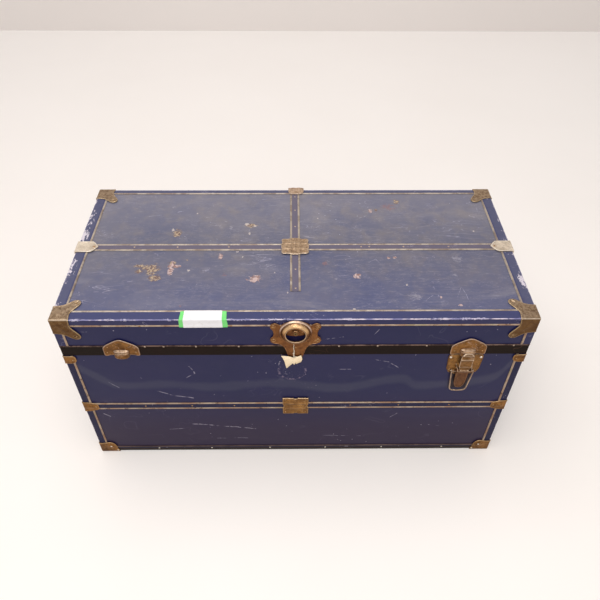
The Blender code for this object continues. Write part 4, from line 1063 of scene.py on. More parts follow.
rivets, nails = [], []
for side, hand in SIDES:
    for face in ("front", "back"):
        rivets += [(face, hand * 429.5, 23.5, *TOE_RIVET), (face, hand * 417, 7.0, *CAP_NAIL)]
        nails += [(face, hand * 429.0, BELT_Z, *CAP_NAIL), (face, hand * 438.5, 334.5, *RIM_NAIL)]
    for end in (-1, 1):
        rivets += [(side, end * 185.0, 23.5, *TOE_RIVET)]
        nails += [(side, end * 184.5, BELT_Z, *CAP_NAIL), (side, end * 194, 334.5, *RIM_NAIL)]
    rivets += studs(side, (-40, 40), (HANDLE_Z - 8, HANDLE_Z + 8), (1.7, 2.6, 1.3))
    rivets += studs("back", [hand * HINGE_X + x for x in LEAF_X], (304, 326), (1.7, 2.3, 1.1))
rivets += studs("front", (BOLT_X - 30, BOLT_X + 30), (338.5,), (1.7, 2.8, 1.7))
rivets += studs("front", (BOLT_X - 22, BOLT_X + 22), (296.5,), (1.7, 1.8, 0.9))
nails += studs("front", (-22, 22), (BELT_Z - 22, BELT_Z + 22), SMALL_CAP_NAIL)
heads("hardware_rivets_chest", "root", nail_pale, rivets)
heads("hardware_nails_chest", "root", nail_dark, nails)

lid_heads = []
for _, hand in SIDES:
    for x in (-27.5, 27.5):
        lid_heads += [("front", hand * BOLT_X + x, 359.0, *SMALL_CAP_NAIL),
                      ("front", hand * BOLT_X + x * 0.9, 374.0, ON_CAP, 1.5, 0.6)]
    lid_heads += studs("front", (hand * 42.5,), (395.0, 428.5), CAP_NAIL)
    lid_heads += studs("back", [hand * HINGE_X + x for x in LEAF_X], (366, 388), (3.6, 2.3, 1.1))
    lid_heads += [("top", hand * CLAMP_X, 0.0, ON_CAP, 2.6, 1.0)]
lid_heads += [("front", 0.0, 371.0, ON_CAP, 1.9, 0.8)]
lid_heads += studs("top", (-19, 19), (-17.5, 17.5), (4.3, 1.7, 0.7))
lid_heads += [("top", 0, 194.5, *CLIP_NAIL), ("back", 0, 433.0, *CLIP_NAIL)]
heads("hardware_rivets_lid", "lid", nail_brass, lid_heads)


# ------------------------------------------------------------------ stamped sheet metal
def smooth_outline(points, keep=(), rounds=2):
    """Corner-cutting on a closed outline, except at the points whose index is in keep."""
    marked = [(point, i in keep) for i, point in enumerate(points)]
    for _ in range(rounds):
        cut = []
        for i, (point, fixed) in enumerate(marked):
            if fixed:
                cut.append((point, True))
                continue
            for other in (marked[i - 1][0], marked[(i + 1) % len(marked)][0]):
                cut.append((tuple(a * 0.75 + b * 0.25 for a, b in zip(point, other)), False))
        marked = cut
    return [point for point, _ in marked]


def near_outline(points, outline, skip=None):
    """Where each point lies against a closed outline.

    Gives the distance, the nearest point on the outline, whether the point is inside, and the
    distance when the sides for which skip(start, end) is true are left out.
    """
    starts = np.array(outline, float)
    ends = np.roll(starts, -1, axis=0)
    inside = np.zeros(len(points), bool)
    for (x0, y0), (x1, y1) in zip(starts, ends):
        slope = (x1 - x0) * (points[:, 1] - y0) / (y1 - y0 if y1 != y0 else 1e-12)
        inside ^= ((y0 > points[:, 1]) != (y1 > points[:, 1])) & (points[:, 0] < slope + x0)
    best = np.full(len(points), 1e9)
    best_free = best.copy()
    foot = points.copy()
    for start, end in zip(starts, ends):
        run = end - start
        share = np.clip(((points - start) @ run) / max(run @ run, 1e-12), 0, 1)
        on_side = start + share[:, None] * run
        gap = np.hypot(*(points - on_side).T)
        hit = gap < best
        best[hit], foot[hit] = gap[hit], on_side[hit]
        if skip is None or not skip(start, end):
            best_free = np.minimum(best_free, gap)
    return best, foot, inside, best_free


def sheet(shape, outline, height, base, lay, cell=1.0, joined=None):
    """A sheet-metal piece over a 2-D outline, from base up to height(x, y, distance to its edge).

    lay(x, y, proud) gives the place in the trunk. joined(x, y) is true on edges that meet the
    next wing and stay open.
    """
    xs, ys = zip(*outline)
    x0, y0 = math.floor(min(xs) / cell), math.floor(min(ys) / cell)
    columns, rows = math.ceil(max(xs) / cell) - x0, math.ceil(max(ys) / cell) - y0
    grid_x, grid_y = np.meshgrid(np.arange(columns + 1), np.arange(rows + 1), indexing="ij")
    points = np.stack([(grid_x + x0) * cell, (grid_y + y0) * cell], -1)
    points = points.reshape(-1, 2).astype(float)
    middles = np.stack([(grid_x[:-1, :-1] + x0 + 0.5) * cell,
                        (grid_y[:-1, :-1] + y0 + 0.5) * cell], -1).reshape(-1, 2)
    used = near_outline(middles, outline)[2].reshape(columns, rows)
    count = np.zeros((columns + 1, rows + 1), int)
    for i in (0, 1):
        for j in (0, 1):
            count[i:columns + i, j:rows + j] += used
    count = count.reshape(-1)
    # grid points on the rim move onto the outline
    foot = near_outline(points, outline)[1]
    rim = (count > 0) & (count < 4)
    points[rim] = foot[rim]
    skip = None
    if joined is not None:
        def skip(start, end):
            return joined(*start) and joined(*end)
    free = near_outline(points, outline, skip)[3]
    pairs = {}
    for k in np.nonzero(count > 0)[0]:
        x, y = points[k]
        pairs[k] = (shape.verts.new(lay(x, y, height(x, y, float(free[k])))),
                    shape.verts.new(lay(x, y, base)))
    line = rows + 1
    edges = {}
    for i in range(columns):
        for j in range(rows):
            if not used[i, j]:
                continue
            quad = [i * line + j, (i + 1) * line + j, (i + 1) * line + j + 1, i * line + j + 1]
            shape.faces.new([pairs[k][0] for k in quad])
            shape.faces.new([pairs[k][1] for k in reversed(quad)])
            for k in range(4):
                edge = (quad[k], quad[(k + 1) % 4])
                key = frozenset(edge)
                edges[key] = None if key in edges else edge
    for edge in edges.values():
        if edge is None or (skip and skip(points[edge[0]], points[edge[1]])):
            continue
        one, two = pairs[edge[0]], pairs[edge[1]]
        shape.faces.new((one[0], one[1], two[1], two[0]))


def rolled(top, field, width):
    """Height of a stamped plate: rounded-over edge, raised border of width, sunk field."""
    def height(distance):
        edge = top - 0.75 * (1.0 - quarter_round(distance, 0.9))
        return edge - field * ease((distance - width * 0.55) / (width * 0.45))
    return height


def roll(depth, radius, proud):
    """Moves a point, given by its depths in from the cap's faces, onto their rounded arris."""
    centre = [max(value, radius) for value in depth]
    away = Vector([a - b for a, b in zip(centre, depth)]).normalized()
    return [a - b * (radius + proud - CAP) for a, b in zip(centre, away)]


def round_corner(hand, end, up, wing):
    """Lays a wing on a box corner with rounded arrises; wing is the axis it faces along."""
    def lay(along, away, proud):
        start = Vector({"y": (CAP_X - along, CAP_Y, away), "x": (CAP_X, CAP_Y - along, away),
                        "z": (CAP_X - along, CAP_Y - away, 0.0)}[wing])
        x, y, z = roll([CAP_X - start.x, CAP_Y - start.y, start.z], 3.2, proud)
        level = CAP_TOP if up > 0 else 0.0
        return Vector((hand * (CAP_X - x), end * (CAP_Y - y), level - up * z))
    return lay


def round_upright(hand, end, wing):
    """The same for a clip that wraps one upright edge."""
    def lay(along, z, proud):
        x, y = roll([along, 0.0] if wing == "y" else [0.0, along], 3.0, proud)
        return Vector((hand * (CAP_X - x), end * (CAP_Y - y), z))
    return lay


def lobe_slot(x, y):
    """Raised oval bead round a sunk slot in the lobe."""
    angle, length, width = math.radians(47), 12.0, 6.6
    x, y = x - LOBE[0], y - LOBE[1]
    along = x * math.cos(angle) + y * math.sin(angle)
    across = -x * math.sin(angle) + y * math.cos(angle)
    reach = math.hypot(max(0.0, abs(along) - (length - width) / 2), across) / (width / 2)
    if reach > 1.6:
        return 0.0
    return 0.55 * ridge(reach - 0.98, 0.30) - 0.85 * (1.0 if reach < 0.5
                                                      else max(0.0, (0.8 - reach) / 0.3))


def lobe_crease(x, y):
    """A soft crease that runs from the corner out along the lobe."""
    out = math.hypot(x, y)
    return 0.5 * ridge(x - y * 0.93, 5.0) * clamp((out - 12) / 14) * clamp((52 - out) / 10)


# outlines of one wing, in from the corner's two arrises
LID_WING = smooth_outline(
    [(0, 0), (38, 0), (38, 5), (36.8, 12), (36.5, 19), (41, 27), (46.5, 34.5), (51, 42), (51.5, 48),
     (48, 53), (41.5, 54.5), (35, 51.5), (27, 45), (20, 40.5), (12, 38.6), (5, 38), (0, 38)],
    keep=(0, 1, 16))
TOE_WING = smooth_outline(
    [(0, 0), (44, 0), (44, 5), (41, 13), (40.5, 24), (37, 33), (30, 38.5), (22, 39), (15, 36.5),
     (6, 36), (0, 36)], keep=(0, 1, 10))
# outlines of one wing: in from the upright arris, z
BELT_WING = smooth_outline(
    [(0, 163.5), (15, 163.5), (22, 166.0), (31, 168.5), (34, 173.5), (34, 184.5), (31, 189.5),
     (22, 192.0), (15, 194.5), (0, 194.5)], keep=(0, 9))
RIM_WING = smooth_outline(
    [(0, 325.0), (18, 325.0), (24, 329.5), (26.0, 337), (24.5, 345.0), (20, 347.0), (0, 347.0)],
    keep=(0, 6))


def corner_cap(name, hand, end, up, material):
    """Three-winged cap: lobed on the lid's corners (up 1), plain on the toes (up -1)."""
    lid = up > 0
    plain = rolled(CAP, field=0.5, width=3.2)

    def height(x, y, distance):
        level = plain(distance)
        if lid:
            level += lobe_slot(x, y) + lobe_crease(x, y)
        else:
            level += 1.1 * hill(x, y, (27.0, 24.0), (11.0, 11.0), 1.5)
            level += 0.5 * hill(x, y, (34.0, 8.0), (7.0, 5.0), 1.5)
        level += 0.14 * ripple(x * 0.12 + hand * 7, y * 0.12 + end * 5, up * 3.0)
        if not lid:
            level = min(level, CAP + 0.25 * max(0.0, min(x, y)))
        return min(level, 4.9)

    def flat_height(x, y, distance):
        return min(height(x, y, distance), CAP)

    shape = bmesh.new()
    for wing in "yxz":
        sheet(shape, LID_WING if lid else TOE_WING,
              flat_height if wing == "z" and not lid else height, SHEET_BACK,
              round_corner(hand, end, up, wing), joined=lambda x, y: x < 1e-6 or y < 1e-6)
    return make(shape, name, material, "lid" if lid else "root", merge=0.04)


def wrap_clip(name, hand, end, outline, material, relief=lambda x, z: 0.0):
    """Clip of two wings round an upright edge."""
    plain = rolled(CAP, field=0.45, width=2.4)

    def height(x, z, distance):
        dent = 0.12 * ripple(x * 0.15 + hand * 3, z * 0.15 + end, 1.0)
        return plain(distance) + dent + relief(x, z)

    shape = bmesh.new()
    for wing in "yx":
        sheet(shape, outline, height, SHEET_BACK, round_upright(hand, end, wing),
              joined=lambda x, y: x < 1e-6)
    return make(shape, name, material, "root", merge=0.04)


def belt_swell(x, z):
    return 0.9 * hill(x, z, (17.0, BELT_Z), (15.0, 8.0), 1.2)


for i, (label, hand, end) in enumerate(CORNERS):
    obj = corner_cap("lid_corner_cap_" + label, hand, end, 1, brass(
        "corner_cap_brass_" + label, 111.0 + i, "olive", 0.6, extra_highlight_and_shade=cap_highlight_and_shade))
    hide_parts("lid_corner_" + label)
    obj = corner_cap("toe_cap_" + label, hand, end, -1,
                     brass("toe_cap_brass_" + label, 121.0 + i, "brass", 0.7))
    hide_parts("bottom_corner_" + label)
    obj = wrap_clip("belt_clip_wrap_" + label, hand, end, BELT_WING,
                    brass("belt_clip_brass_" + label, 131.0 + i, "brass", 0.65), belt_swell)
    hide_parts("belt_clip_" + label)
    obj = wrap_clip("rim_cap_wrap_" + label, hand, end, RIM_WING,
                    brass("rim_cap_brass_" + label, 141.0 + i, "brass", 0.6))
    if end < 0:
        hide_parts("rim_cap_" + label)

# ------------------------------------------------------------------ draw bolts
# x from the bolt's middle, z
CATCH = smooth_outline(
    [(-34.6, 348.6), (-28, 348.4), (-23, 351.4), (23, 351.4), (28, 348.4), (34.6, 348.6),
     (34.8, 362), (34.6, 375.5), (9.0, 391.5), (0.0, 394.8), (-9.0, 391.5), (-34.6, 375.5),
     (-34.8, 362)])


def catch_hump(shape, centre):
    """An oval hood that swells towards its open lower lip."""
    across, down = 28, 26
    rows = []
    for k in range(down + 1):
        fall = k / down
        half = 15.3 * quarter_round(fall * 4.6 + 0.18, 1.0)
        if fall >= 0.74:
            half *= math.sqrt(max(0.02, 1 - ((fall - 0.74) / 0.33) ** 2))
        crest = 2.8 + 5.6 * math.sin(min(1.0, fall / 0.15) * math.pi / 2)
        crest += 2.0 * ease((fall - 0.22) / 0.13) - max(0.0, fall - 0.86) * 14
        row = []
        for j in range(across + 1):
            place = -1 + 2 * j / across
            roundness = math.sqrt(max(0.0, 1 - abs(place) ** 3.2))
            groove = ridge(fall - 0.21, 0.03) * roundness
            proud = max(2.8, 2.8 + (crest - 2.8) * roundness - groove)
            row.append(shape.verts.new(
                spot("front", centre - 0.5 + half * place, 366.0 - fall * 22.0, proud)))
        rows.append(row)
    inner = []
    for row in rows:
        inner.append([
            shape.verts.new((vert.co.x, min(vert.co.y + 1.3, -(HALF_Y + 2.5)), vert.co.z))
            for vert in row])
    skin(shape, rows, ring=False)
    skin(shape, inner, ring=False, flip=True)
    first, last, first_in, last_in = rows[0], rows[-1], inner[0], inner[-1]
    for j in range(across):
        shape.faces.new((last[j], last[j + 1], last_in[j + 1], last_in[j]))
        shape.faces.new((first[j], first_in[j], first_in[j + 1], first[j + 1]))
    for k in range(down):
        shape.faces.new((rows[k][0], rows[k + 1][0], inner[k + 1][0], inner[k][0]))
        shape.faces.new((rows[k][-1], inner[k][-1], inner[k + 1][-1], rows[k + 1][-1]))


def catch_plate(label, hand, material):
    plain = rolled(3.6, field=0.6, width=3.0)
    shape = bmesh.new()
    sheet(shape, [(hand * BOLT_X + x, z) for x, z in CATCH],
          lambda x, z, distance: plain(distance) + 0.10 * ripple(x * 0.1, z * 0.1, 2.0),
          SHEET_BACK, partial(spot, "front"))
    catch_hump(shape, hand * BOLT_X)
    obj = make(shape, "draw_bolt_catch_plate_" + label, material, "lid")
    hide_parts("draw_bolt_catch_" + label)


def hook_height(x, z, distance):
    """Pressed bar with cross ridges and a curled lower end."""
    level = 12.4 - 0.5 * (1 - quarter_round(distance, 0.9))
    level += 2.0 * ridge(z - 342.0, 1.9) + 1.1 * ridge(z - 320.0, 2.0) + 1.9 * ridge(z - 354.5, 2.3)
    level -= 0.5 * hill(x, z, (BOLT_X, 329), (9.5, 9.0), 0.7)
    if z < 311:
        level += 1.7 * math.sqrt(max(0.0, 1 - ((z - 307.5) / 3.6) ** 2))
    return level


def hook_plate():
    """The hook that hangs on the right-hand hump."""
    outline = smooth_outline([(BOLT_X + x, z) for x, z in (
        (-12.6, 305.5), (12.6, 305.5), (12.6, 350), (10.5, 356.5), (5, 359.6), (-5, 359.6),
        (-10.5, 356.5), (-12.6, 350))])
    shape = bmesh.new()
    sheet(shape, outline, hook_height, 10.8, partial(spot, "front"), cell=0.8)
    material = brass("hook_plate_brass", 155.0, "hook", 0.5)
    obj = make(shape, "draw_bolt_hook_plate", material, "draw_bolt_hook")
    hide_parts("draw_bolt_hook")


def bead_line(name, face, points, proud, radius, body, material, rounds=2):
    """A rolled bead that follows a plate's outline."""
    line = smooth_outline(points, rounds=rounds)
    first, second, out, _ = FACES[face]
    shape = bmesh.new()
    loops = []
    for i, (x, y) in enumerate(line):
        (x0, y0), (x1, y1) = line[i - 1], line[(i + 1) % len(line)]
        run = Vector((x1 - x0, y1 - y0)).normalized()
        side = first * -run.y + second * run.x
        centre = spot(face, x, y, proud)
        loops.append([
            shape.verts.new(centre + (side * math.cos(turn) + out * math.sin(turn) * 0.8) * radius)
            for turn in angles(8)])
    skin(shape, loops, wrap=True)
    make(shape, name, material, body)


def base_rim():
    """Bead on the draw bolt's base plate, 1.1 in from its outline towards its middle."""
    outline = [(-31, 346.8), (0, 346.8), (31, 346.8), (34.5, 342), (34.5, 332), (33, 303),
               (28, 292.5), (12, 285), (-12, 285), (-28, 292.5), (-33, 303), (-34.5, 332),
               (-34.5, 342)]
    middle = 318
    points = []
    for x, z in outline:
        far = math.hypot(x, z - middle)
        share = (far - 1.1) / far
        points.append((BOLT_X + x * share, middle + (z - middle) * share))
    bead_line("draw_bolt_base_rim", "front", points, 1.9, 0.85, "root",
              brass("base_rim_brass", 156.0, "gold", 0.4, edge=False))


for i, (label, hand) in enumerate(SIDES):
    catch_plate(label, hand, brass("catch_plate_brass_" + label, 151.0 + i, "catch", 0.5))
hook_plate()
base_rim()

# ------------------------------------------------------------------ lock
# right half of the plate's outline, from the bottom up: (x, z)
LOCK_HALF = [
    (0.0, 338.0), (9.0, 338.5), (13.0, 341.5), (15.8, 351.0), (18.5, 362.0), (21.5, 371.0),
    (27.0, 378.0), (34.0, 382.0), (40.0, 382.5), (46.0, 385.5), (49.0, 392.0), (47.5, 398.5),
    (42.8, 403.5), (41.5, 411.5), (43.0, 419.5), (47.0, 425.0), (48.2, 431.0), (45.5, 437.0),
    (39.5, 439.8), (33.0, 437.0), (28.0, 432.0), (24.0, 436.0), (14.0, 440.8), (0.0, 442.8)]
# section of the turned skin over the lock's ring: (radius, proud)
RING_SECTION = [
    (31.5, 2.9), (31.45, 4.6), (30.9, 5.9), (29.8, 6.7), (28.6, 6.4), (27.7, 5.6), (26.9, 5.9),
    (26.0, 7.7), (24.8, 9.25), (23.3, 10.75), (21.9, 11.75), (20.8, 12.3), (19.7, 12.45),
    (18.95, 12.05), (18.75, 11.4), (19.3, 10.9), (20.5, 11.2), (22.9, 9.9), (25.3, 7.1),
    (26.8, 4.9), (28.6, 4.0), (30.3, 3.9), (30.6, 2.9)]


def lock_rim():
    """Bead 1 mm in from the lock plate's outline."""
    outline = LOCK_HALF + [(-x, z) for x, z in reversed(LOCK_HALF[1:-1])]
    points = []
    for i, (x, z) in enumerate(outline):
        (x0, z0), (x1, z1) = outline[i - 1], outline[(i + 1) % len(outline)]
        run = Vector((x1 - x0, z1 - z0)).normalized()
        points.append((x - run.y, z + run.x))
    bead_line("lock_plate_rim", "front", points, 3.4, 0.8, "lid",
              brass("lock_rim_brass", 157.0, "red", 0.4, edge=False))


def lock_ring():
    shape = bmesh.new()
    turned = []
    for turn in angles(96):
        turned.append([
            shape.verts.new(spot("front", radius * math.cos(turn),
                                 LOCK_Z + radius * math.sin(turn), proud))
            for radius, proud in RING_SECTION])
    skin(shape, turned, wrap=True)
    make(shape, "lock_ring_skin",
         brass("lock_ring_brass", 165.0, "red", 0.35, edge=False, extra_highlight_and_shade=ring_highlight_and_shade), "lid")


lock_rim()
lock_ring()
# pressed ringlets on the lock plate's ears
for i, (_, hand) in enumerate(SIDES):
    for j, (x, z) in enumerate(((42.5, 392.5), (42.0, 430.5))):
        ringlet = [(hand * a, b) for a, b in circle(x, z, 4.0, 10)]
        bead_line("lock_ear_press_%d_%d" % (i, j), "front", ringlet, 3.5, 0.5, "lid", nail_brass)

# ------------------------------------------------------------------ belt and cross plates
# square with a small notch in the middle of each side: x, z from the middle
BELT_PLATE = [
    (-27.6, -27.6), (-4.5, -27.6), (-2.5, -25.6), (2.5, -25.6), (4.5, -27.6), (27.6, -27.6),
    (27.6, -4.5), (25.6, -2.5), (25.6, 2.5), (27.6, 4.5), (27.6, 27.6), (4.5, 27.6), (2.5, 25.6),
    (-2.5, 25.6), (-4.5, 27.6), (-27.6, 27.6), (-27.6, 4.5), (-25.6, 2.5), (-25.6, -2.5),
    (-27.6, -4.5)]
# lobed plate over the crossing strips: (x, y)
CROSS_PLATE = smooth_outline(
    [(-29, -20), (-25, -25), (-15, -23.5), (-8, -27), (8, -27), (15, -23.5), (25, -25), (29, -20),
     (27, -12), (29, -6), (29, 6), (27, 12), (29, 20), (25, 25), (15, 23.5), (8, 27), (-8, 27),
     (-15, 23.5), (-25, 25), (-29, 20), (-27, 12), (-29, 6), (-29, -6), (-27, -12)])
RIBS = (-8.5, 8.5)
belt_roll = rolled(3.7, field=0.55, width=3.0)
cross_roll = rolled(4.5, field=0.4, width=2.6)


def belt_height(x, z, distance):
    """Two level ribs, a faint upright one and a mottled field."""
    level = belt_roll(distance)
    for at in RIBS:
        level += 1.1 * ridge(z - BELT_Z - at, 2.0) * clamp((25.0 - abs(x)) / 3.0)
    level += 0.7 * ridge(x, 2.2) * (1.0 if abs(z - BELT_Z) > 10 else 0.2)
    return level + 0.3 * ripple(x * 0.16, z * 0.16, 5.0) + 0.12 * ripple(x * 0.5, z * 0.5, 5.0)


def cross_height(x, y, distance):
    """Ribs both ways and one down the middle."""
    fade = clamp(distance / 4.0)
    level = cross_roll(distance) + 0.9 * ridge(x, 1.8) * fade
    for at in RIBS:
        level += 0.8 * ridge(y - at, 2.0) * fade
        level += 0.8 * ridge(x - at, 2.0) * fade
    level += 0.25 * ripple(x * 0.16, y * 0.16, 9.0) + 0.14 * ripple(x * 0.45, y * 0.45, 9.0)
    return min(5.6, level)


shape = bmesh.new()
sheet(shape, [(x, BELT_Z + z) for x, z in BELT_PLATE], belt_height, SHEET_BACK,
      partial(spot, "front"))
obj = make(shape, "belt_plate_pressed", brass("belt_pressed_brass", 158.0, "gold", 0.35),
           "root")
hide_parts("belt_plate")

shape = bmesh.new()
sheet(shape, CROSS_PLATE, cross_height, 3.4, partial(spot, "top"))
obj = make(shape, "lid_cross_plate_pressed", brass("cross_pressed_brass", 162.0, "cross", 0.5),
           "lid")
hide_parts("lid_cross_plate")


# ------------------------------------------------------------------ rear clip and lever
def rear_clip():
    """A strap folded over the lid's rear arris, a little crumpled."""
    shape = bmesh.new()
    flat_end, fold_end = 0.42, 0.60  # shares of the strap's length
    rows = []
    for i in range(33):
        place = -1 + i / 16
        x = 3.0 + 17.9 * place
        bulge = max(0.0, 1 - abs(place) ** 4) ** 0.6
        reach = 11.5 + 10.5 * bulge + 0.5 * ripple(x * 0.35, 1.0, 2.0)
        down = 12.0 + 8.5 * bulge
        swell = 3.0 * (1 - 0.35 * abs(place) ** 3) + 0.7 * ripple(x * 0.14, 4.0, 1.0)
        row = []
        for k in range(29):
            along = k / 28
            crease = 0.5 * ripple(x * 0.16, along * 6.0, 7.0)
            if along < flat_end:
                part = along / flat_end
                y = CAP_Y - reach * (1 - part) - 2.0 * part
                z = TOP + 3.4 + (swell + crease) * ease(part)
            elif along < fold_end:
                turn = (along - flat_end) / 0.18 * math.pi / 2
                y = HALF_Y + 1.5 + (3.6 + 0.4 * swell) * math.sin(turn)
                z = TOP + 3.4 + swell + crease - (4.0 + swell) * (1 - math.cos(turn))
            else:
                part = (along - fold_end) / 0.40
                y = HALF_Y + 5.1 + 0.4 * swell - (1.7 + 0.4 * swell) * ease(part)
                y += 0.3 * crease * math.sin(part * math.pi)
                z = TOP - 0.6 - (down - 4.1) * part + crease * (1 - part)
            row.append(shape.verts.new((x, y, z)))
        rows.append(row)
    for one, two in zip(rows, rows[1:]):
        for k in range(28):
            shape.faces.new((one[k], two[k], two[k + 1], one[k + 1]))
    obj = make(shape, "lid_rear_clip_folded", brass("rear_clip_folded_metal", 171.0, "fold", 0.45),
               "lid")
    thicken(obj, 1.1, offset=-1.0)
    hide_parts("lid_rear_clip")


def lever_face():
    """A dished, rounded tongue laid over the draw bolt's flat lever."""
    outline = smooth_outline([(BOLT_X + x, z) for x, z in (
        (-12.6, 300.5), (12.6, 300.5), (12.5, 285.0), (11.6, 264.0), (9.5, 254.0), (5.5, 248.0),
        (0.0, 246.2), (-5.5, 248.0), (-9.5, 254.0), (-11.6, 264.0), (-12.5, 285.0))], rounds=1)
    # how far the lever's tongue stands proud of the front panel
    front = max(-(vert.co.y * 1000.0) - HALF_Y for vert in NODES["draw_bolt_lever"].data.vertices
                if vert.co.z * 1000.0 < 262.0)

    def height(x, z, distance):
        level = front - 0.9 + 1.5 * quarter_round(distance, 1.6)
        level -= 0.7 * ease((distance - 2.2) / 2.4)
        return level + 0.9 * ridge(z - 297.5, 2.0) + 0.15 * ripple(x * 0.2, z * 0.2, 3.0)

    shape = bmesh.new()
    sheet(shape, outline, height, front - 1.2, partial(spot, "front"), cell=0.9)
    make(shape, "draw_bolt_lever_face", brass("lever_face_brass", 163.0, "umber", 0.55),
         "draw_bolt_lever")


rear_clip()
lever_face()

# ------------------------------------------------------------------ beads on the end hardware
# clamp rim: (in from the cap's side, y)
CLAMP_RIM = [(3.2, -15.8), (31.5, -15.8), (37.2, -11.3), (44.3, 0), (37.2, 11.3), (31.5, 15.8),
             (3.2, 15.8)]
# handle plate rim: (y, z)
HANDLE_RIM = [(-70.6, 258.8), (-65.4, 253.2), (65.4, 253.2), (70.6, 258.8), (70.6, 277.2),
              (65.4, 282.8), (-65.4, 282.8), (-70.6, 277.2)]
clamp_metal = brass("clamp_rim_metal", 170.0, "pale", 0.3)
for i, (label, hand) in enumerate(SIDES):
    bead_line("lid_end_clamp_rim_" + label, "top", [(hand * (CAP_X - x), y) for x, y in CLAMP_RIM],
              3.4, 0.6, "lid", clamp_metal, rounds=1)
    bead_line("lid_end_clamp_hole_" + label, "top", circle(hand * CLAMP_X, 0.0, 4.6, 12),
              3.4, 0.6, "lid", nail_dull, rounds=0)
    bead_line("handle_plate_rim_" + label, label, HANDLE_RIM, 1.8, 0.8, "root",
              brass("handle_rim_brass_" + label, 159.0 + i, "brass", 0.5))

lobe_nails = []
LOBE_NAIL = (2.7, 1.5, 1.0)
for side, hand in SIDES:
    for end, face in ((-1, "front"), (1, "back")):
        x, z = hand * (CAP_X - LOBE[0]), CAP_TOP - LOBE[1]
        lobe_nails += [(face, x, z, *LOBE_NAIL), ("top", x, end * (CAP_Y - LOBE[1]), *LOBE_NAIL),
                       (side, end * (CAP_Y - LOBE[0]), z, *LOBE_NAIL)]
heads("corner_lobe_nails", "lid", nail_dark, lobe_nails)


# ------------------------------------------------------------------ paper label over green tape
def wrapped_sheet(name, material, left, right, lift, inward, low, slant, thick, seed):
    """A sheet over the lid's front arris, from inward on the top down to low on the front."""
    over = 1.3 + lift
    radius = 1.5 + lift
    path = []
    for k in range(7):
        share = k / 6
        y = -(HALF_Y - inward) * (1 - share) - (HALF_Y + 1.3 - 1.5) * share
        path.append((y, TOP + over + (0.75 if share < 0.2 else 0.0)))
    for k in range(1, 6):
        turn = math.radians(90 * k / 6)
        path.append((-(HALF_Y + over - radius) - radius * math.sin(turn),
                     TOP + over - radius + radius * math.cos(turn)))
    for k in range(8):
        share = k / 7
        z = (TOP + over - radius) * (1 - share) + low * share
        path.append((-(HALF_Y + (over if z > 434.5 else 2.05 + lift)), z))
    last = len(path) - 1
    steps = 26
    shape = bmesh.new()
    rows = []
    for i in range(steps + 1):
        across = i / steps
        row = []
        for k, (y, z) in enumerate(path):
            edge = 0.5 * ripple(i * 0.7 + seed, k * 0.6, seed)
            hand = 1 if across > 0.5 else -1
            x = left + (right - left) * across
            x += slant * (0.5 - k / last) * hand * 2 * abs(across - 0.5)
            wrinkle = (0.16 * ripple(x * 0.11, k * 0.45, seed * 3.0)
                       + 0.10 * ripple(x * 0.35, k * 0.9, seed))
            wrinkle = max(-0.05, wrinkle)
            if i in (0, steps):
                x += edge
            if k < 7:
                row.append(shape.verts.new((x, y + (edge if k == 0 else 0), z + wrinkle)))
            else:
                row.append(shape.verts.new((x, y - wrinkle, z + (edge if k == last else 0))))
        rows.append(row)
    skin(shape, rows, ring=False)
    obj = make(shape, name, material, "lid")
    thicken(obj, thick)
    smooth = obj.modifiers.new("smooth", "SUBSURF")
    smooth.levels = smooth.render_levels = 1


green = paper_material("green_tape", (128, 226, 128), (104, 206, 112), 0.4)
white = paper_material("label_paper", (244, 243, 245), (226, 224, 230), 0.7)
wrapped_sheet("label_tape", green, left=-216.5, right=-127.5, lift=0.18, inward=20.5, low=428.2,
              slant=-2.4, thick=0.12, seed=1.3)
wrapped_sheet("label_paper", white, left=-209.0, right=-136.5, lift=0.42, inward=22.0, low=427.6,
              slant=-1.2, thick=0.14, seed=2.9)

# ------------------------------------------------------------------ torn tag on a string
# (x, z) round the card
TAG = [
    (-28.4, 349.9), (-22, 349.2), (-15.8, 348.3), (-10.1, 346.8), (-7.2, 343.6), (-2.9, 343.2),
    (-0.8, 347.3), (4.2, 346.7), (10.7, 350.9), (12.1, 346.5), (13.2, 338.4), (10.9, 330.3),
    (5.4, 327.1), (1.9, 324.4), (-0.8, 326.5), (-2.7, 321.3), (-5.8, 326.3), (-10.1, 320.3),
    (-13.9, 316.2), (-18.2, 311.0), (-19.5, 320.3), (-22.6, 334.4)]
# (x, proud, z) along each string
STRING = [(-3.6, 4.4, 383.5), (-3.4, 4.9, 379), (-4.0, 4.7, 371), (-3.4, 4.8, 362),
          (-4.2, 5.2, 354), (-4.0, 6.6, 348.5), (-3.4, 6.4, 343.0)]
STRING_END = [(-4.2, 5.4, 371), (-2.6, 5.6, 366), (-2.2, 5.6, 360), (-3.6, 5.6, 355),
              (-1.6, 6.6, 349), (0.6, 6.8, 345)]
KNOTS = ((-3.8, 355.0, 1.9), (-3.4, 346.5, 1.6), (-3.7, 371.0, 1.3))  # x, z, radius


def torn_tag():
    shape = bmesh.new()
    verts = []
    for x, z in TAG:
        proud = 5.6 + 0.9 * ripple(x * 0.09, z * 0.09, 0.4) + 0.0012 * (x + 6) ** 2
        verts.append(shape.verts.new((x, -(HALF_Y + proud), z)))
    bmesh.ops.triangulate(shape, faces=[shape.faces.new(verts)])
    bmesh.ops.subdivide_edges(shape, edges=shape.edges, cuts=2, use_grid_fill=True)
    for vert in shape.verts:
        vert.co.y += 0.35 * ripple(vert.co.x * 0.16, vert.co.z * 0.2, 1.7)
    card = paper_material("tag_card", (255, 240, 210), (244, 218, 178), 0.75)
    thicken(make(shape, "torn_tag", card, "lid"), 0.35)


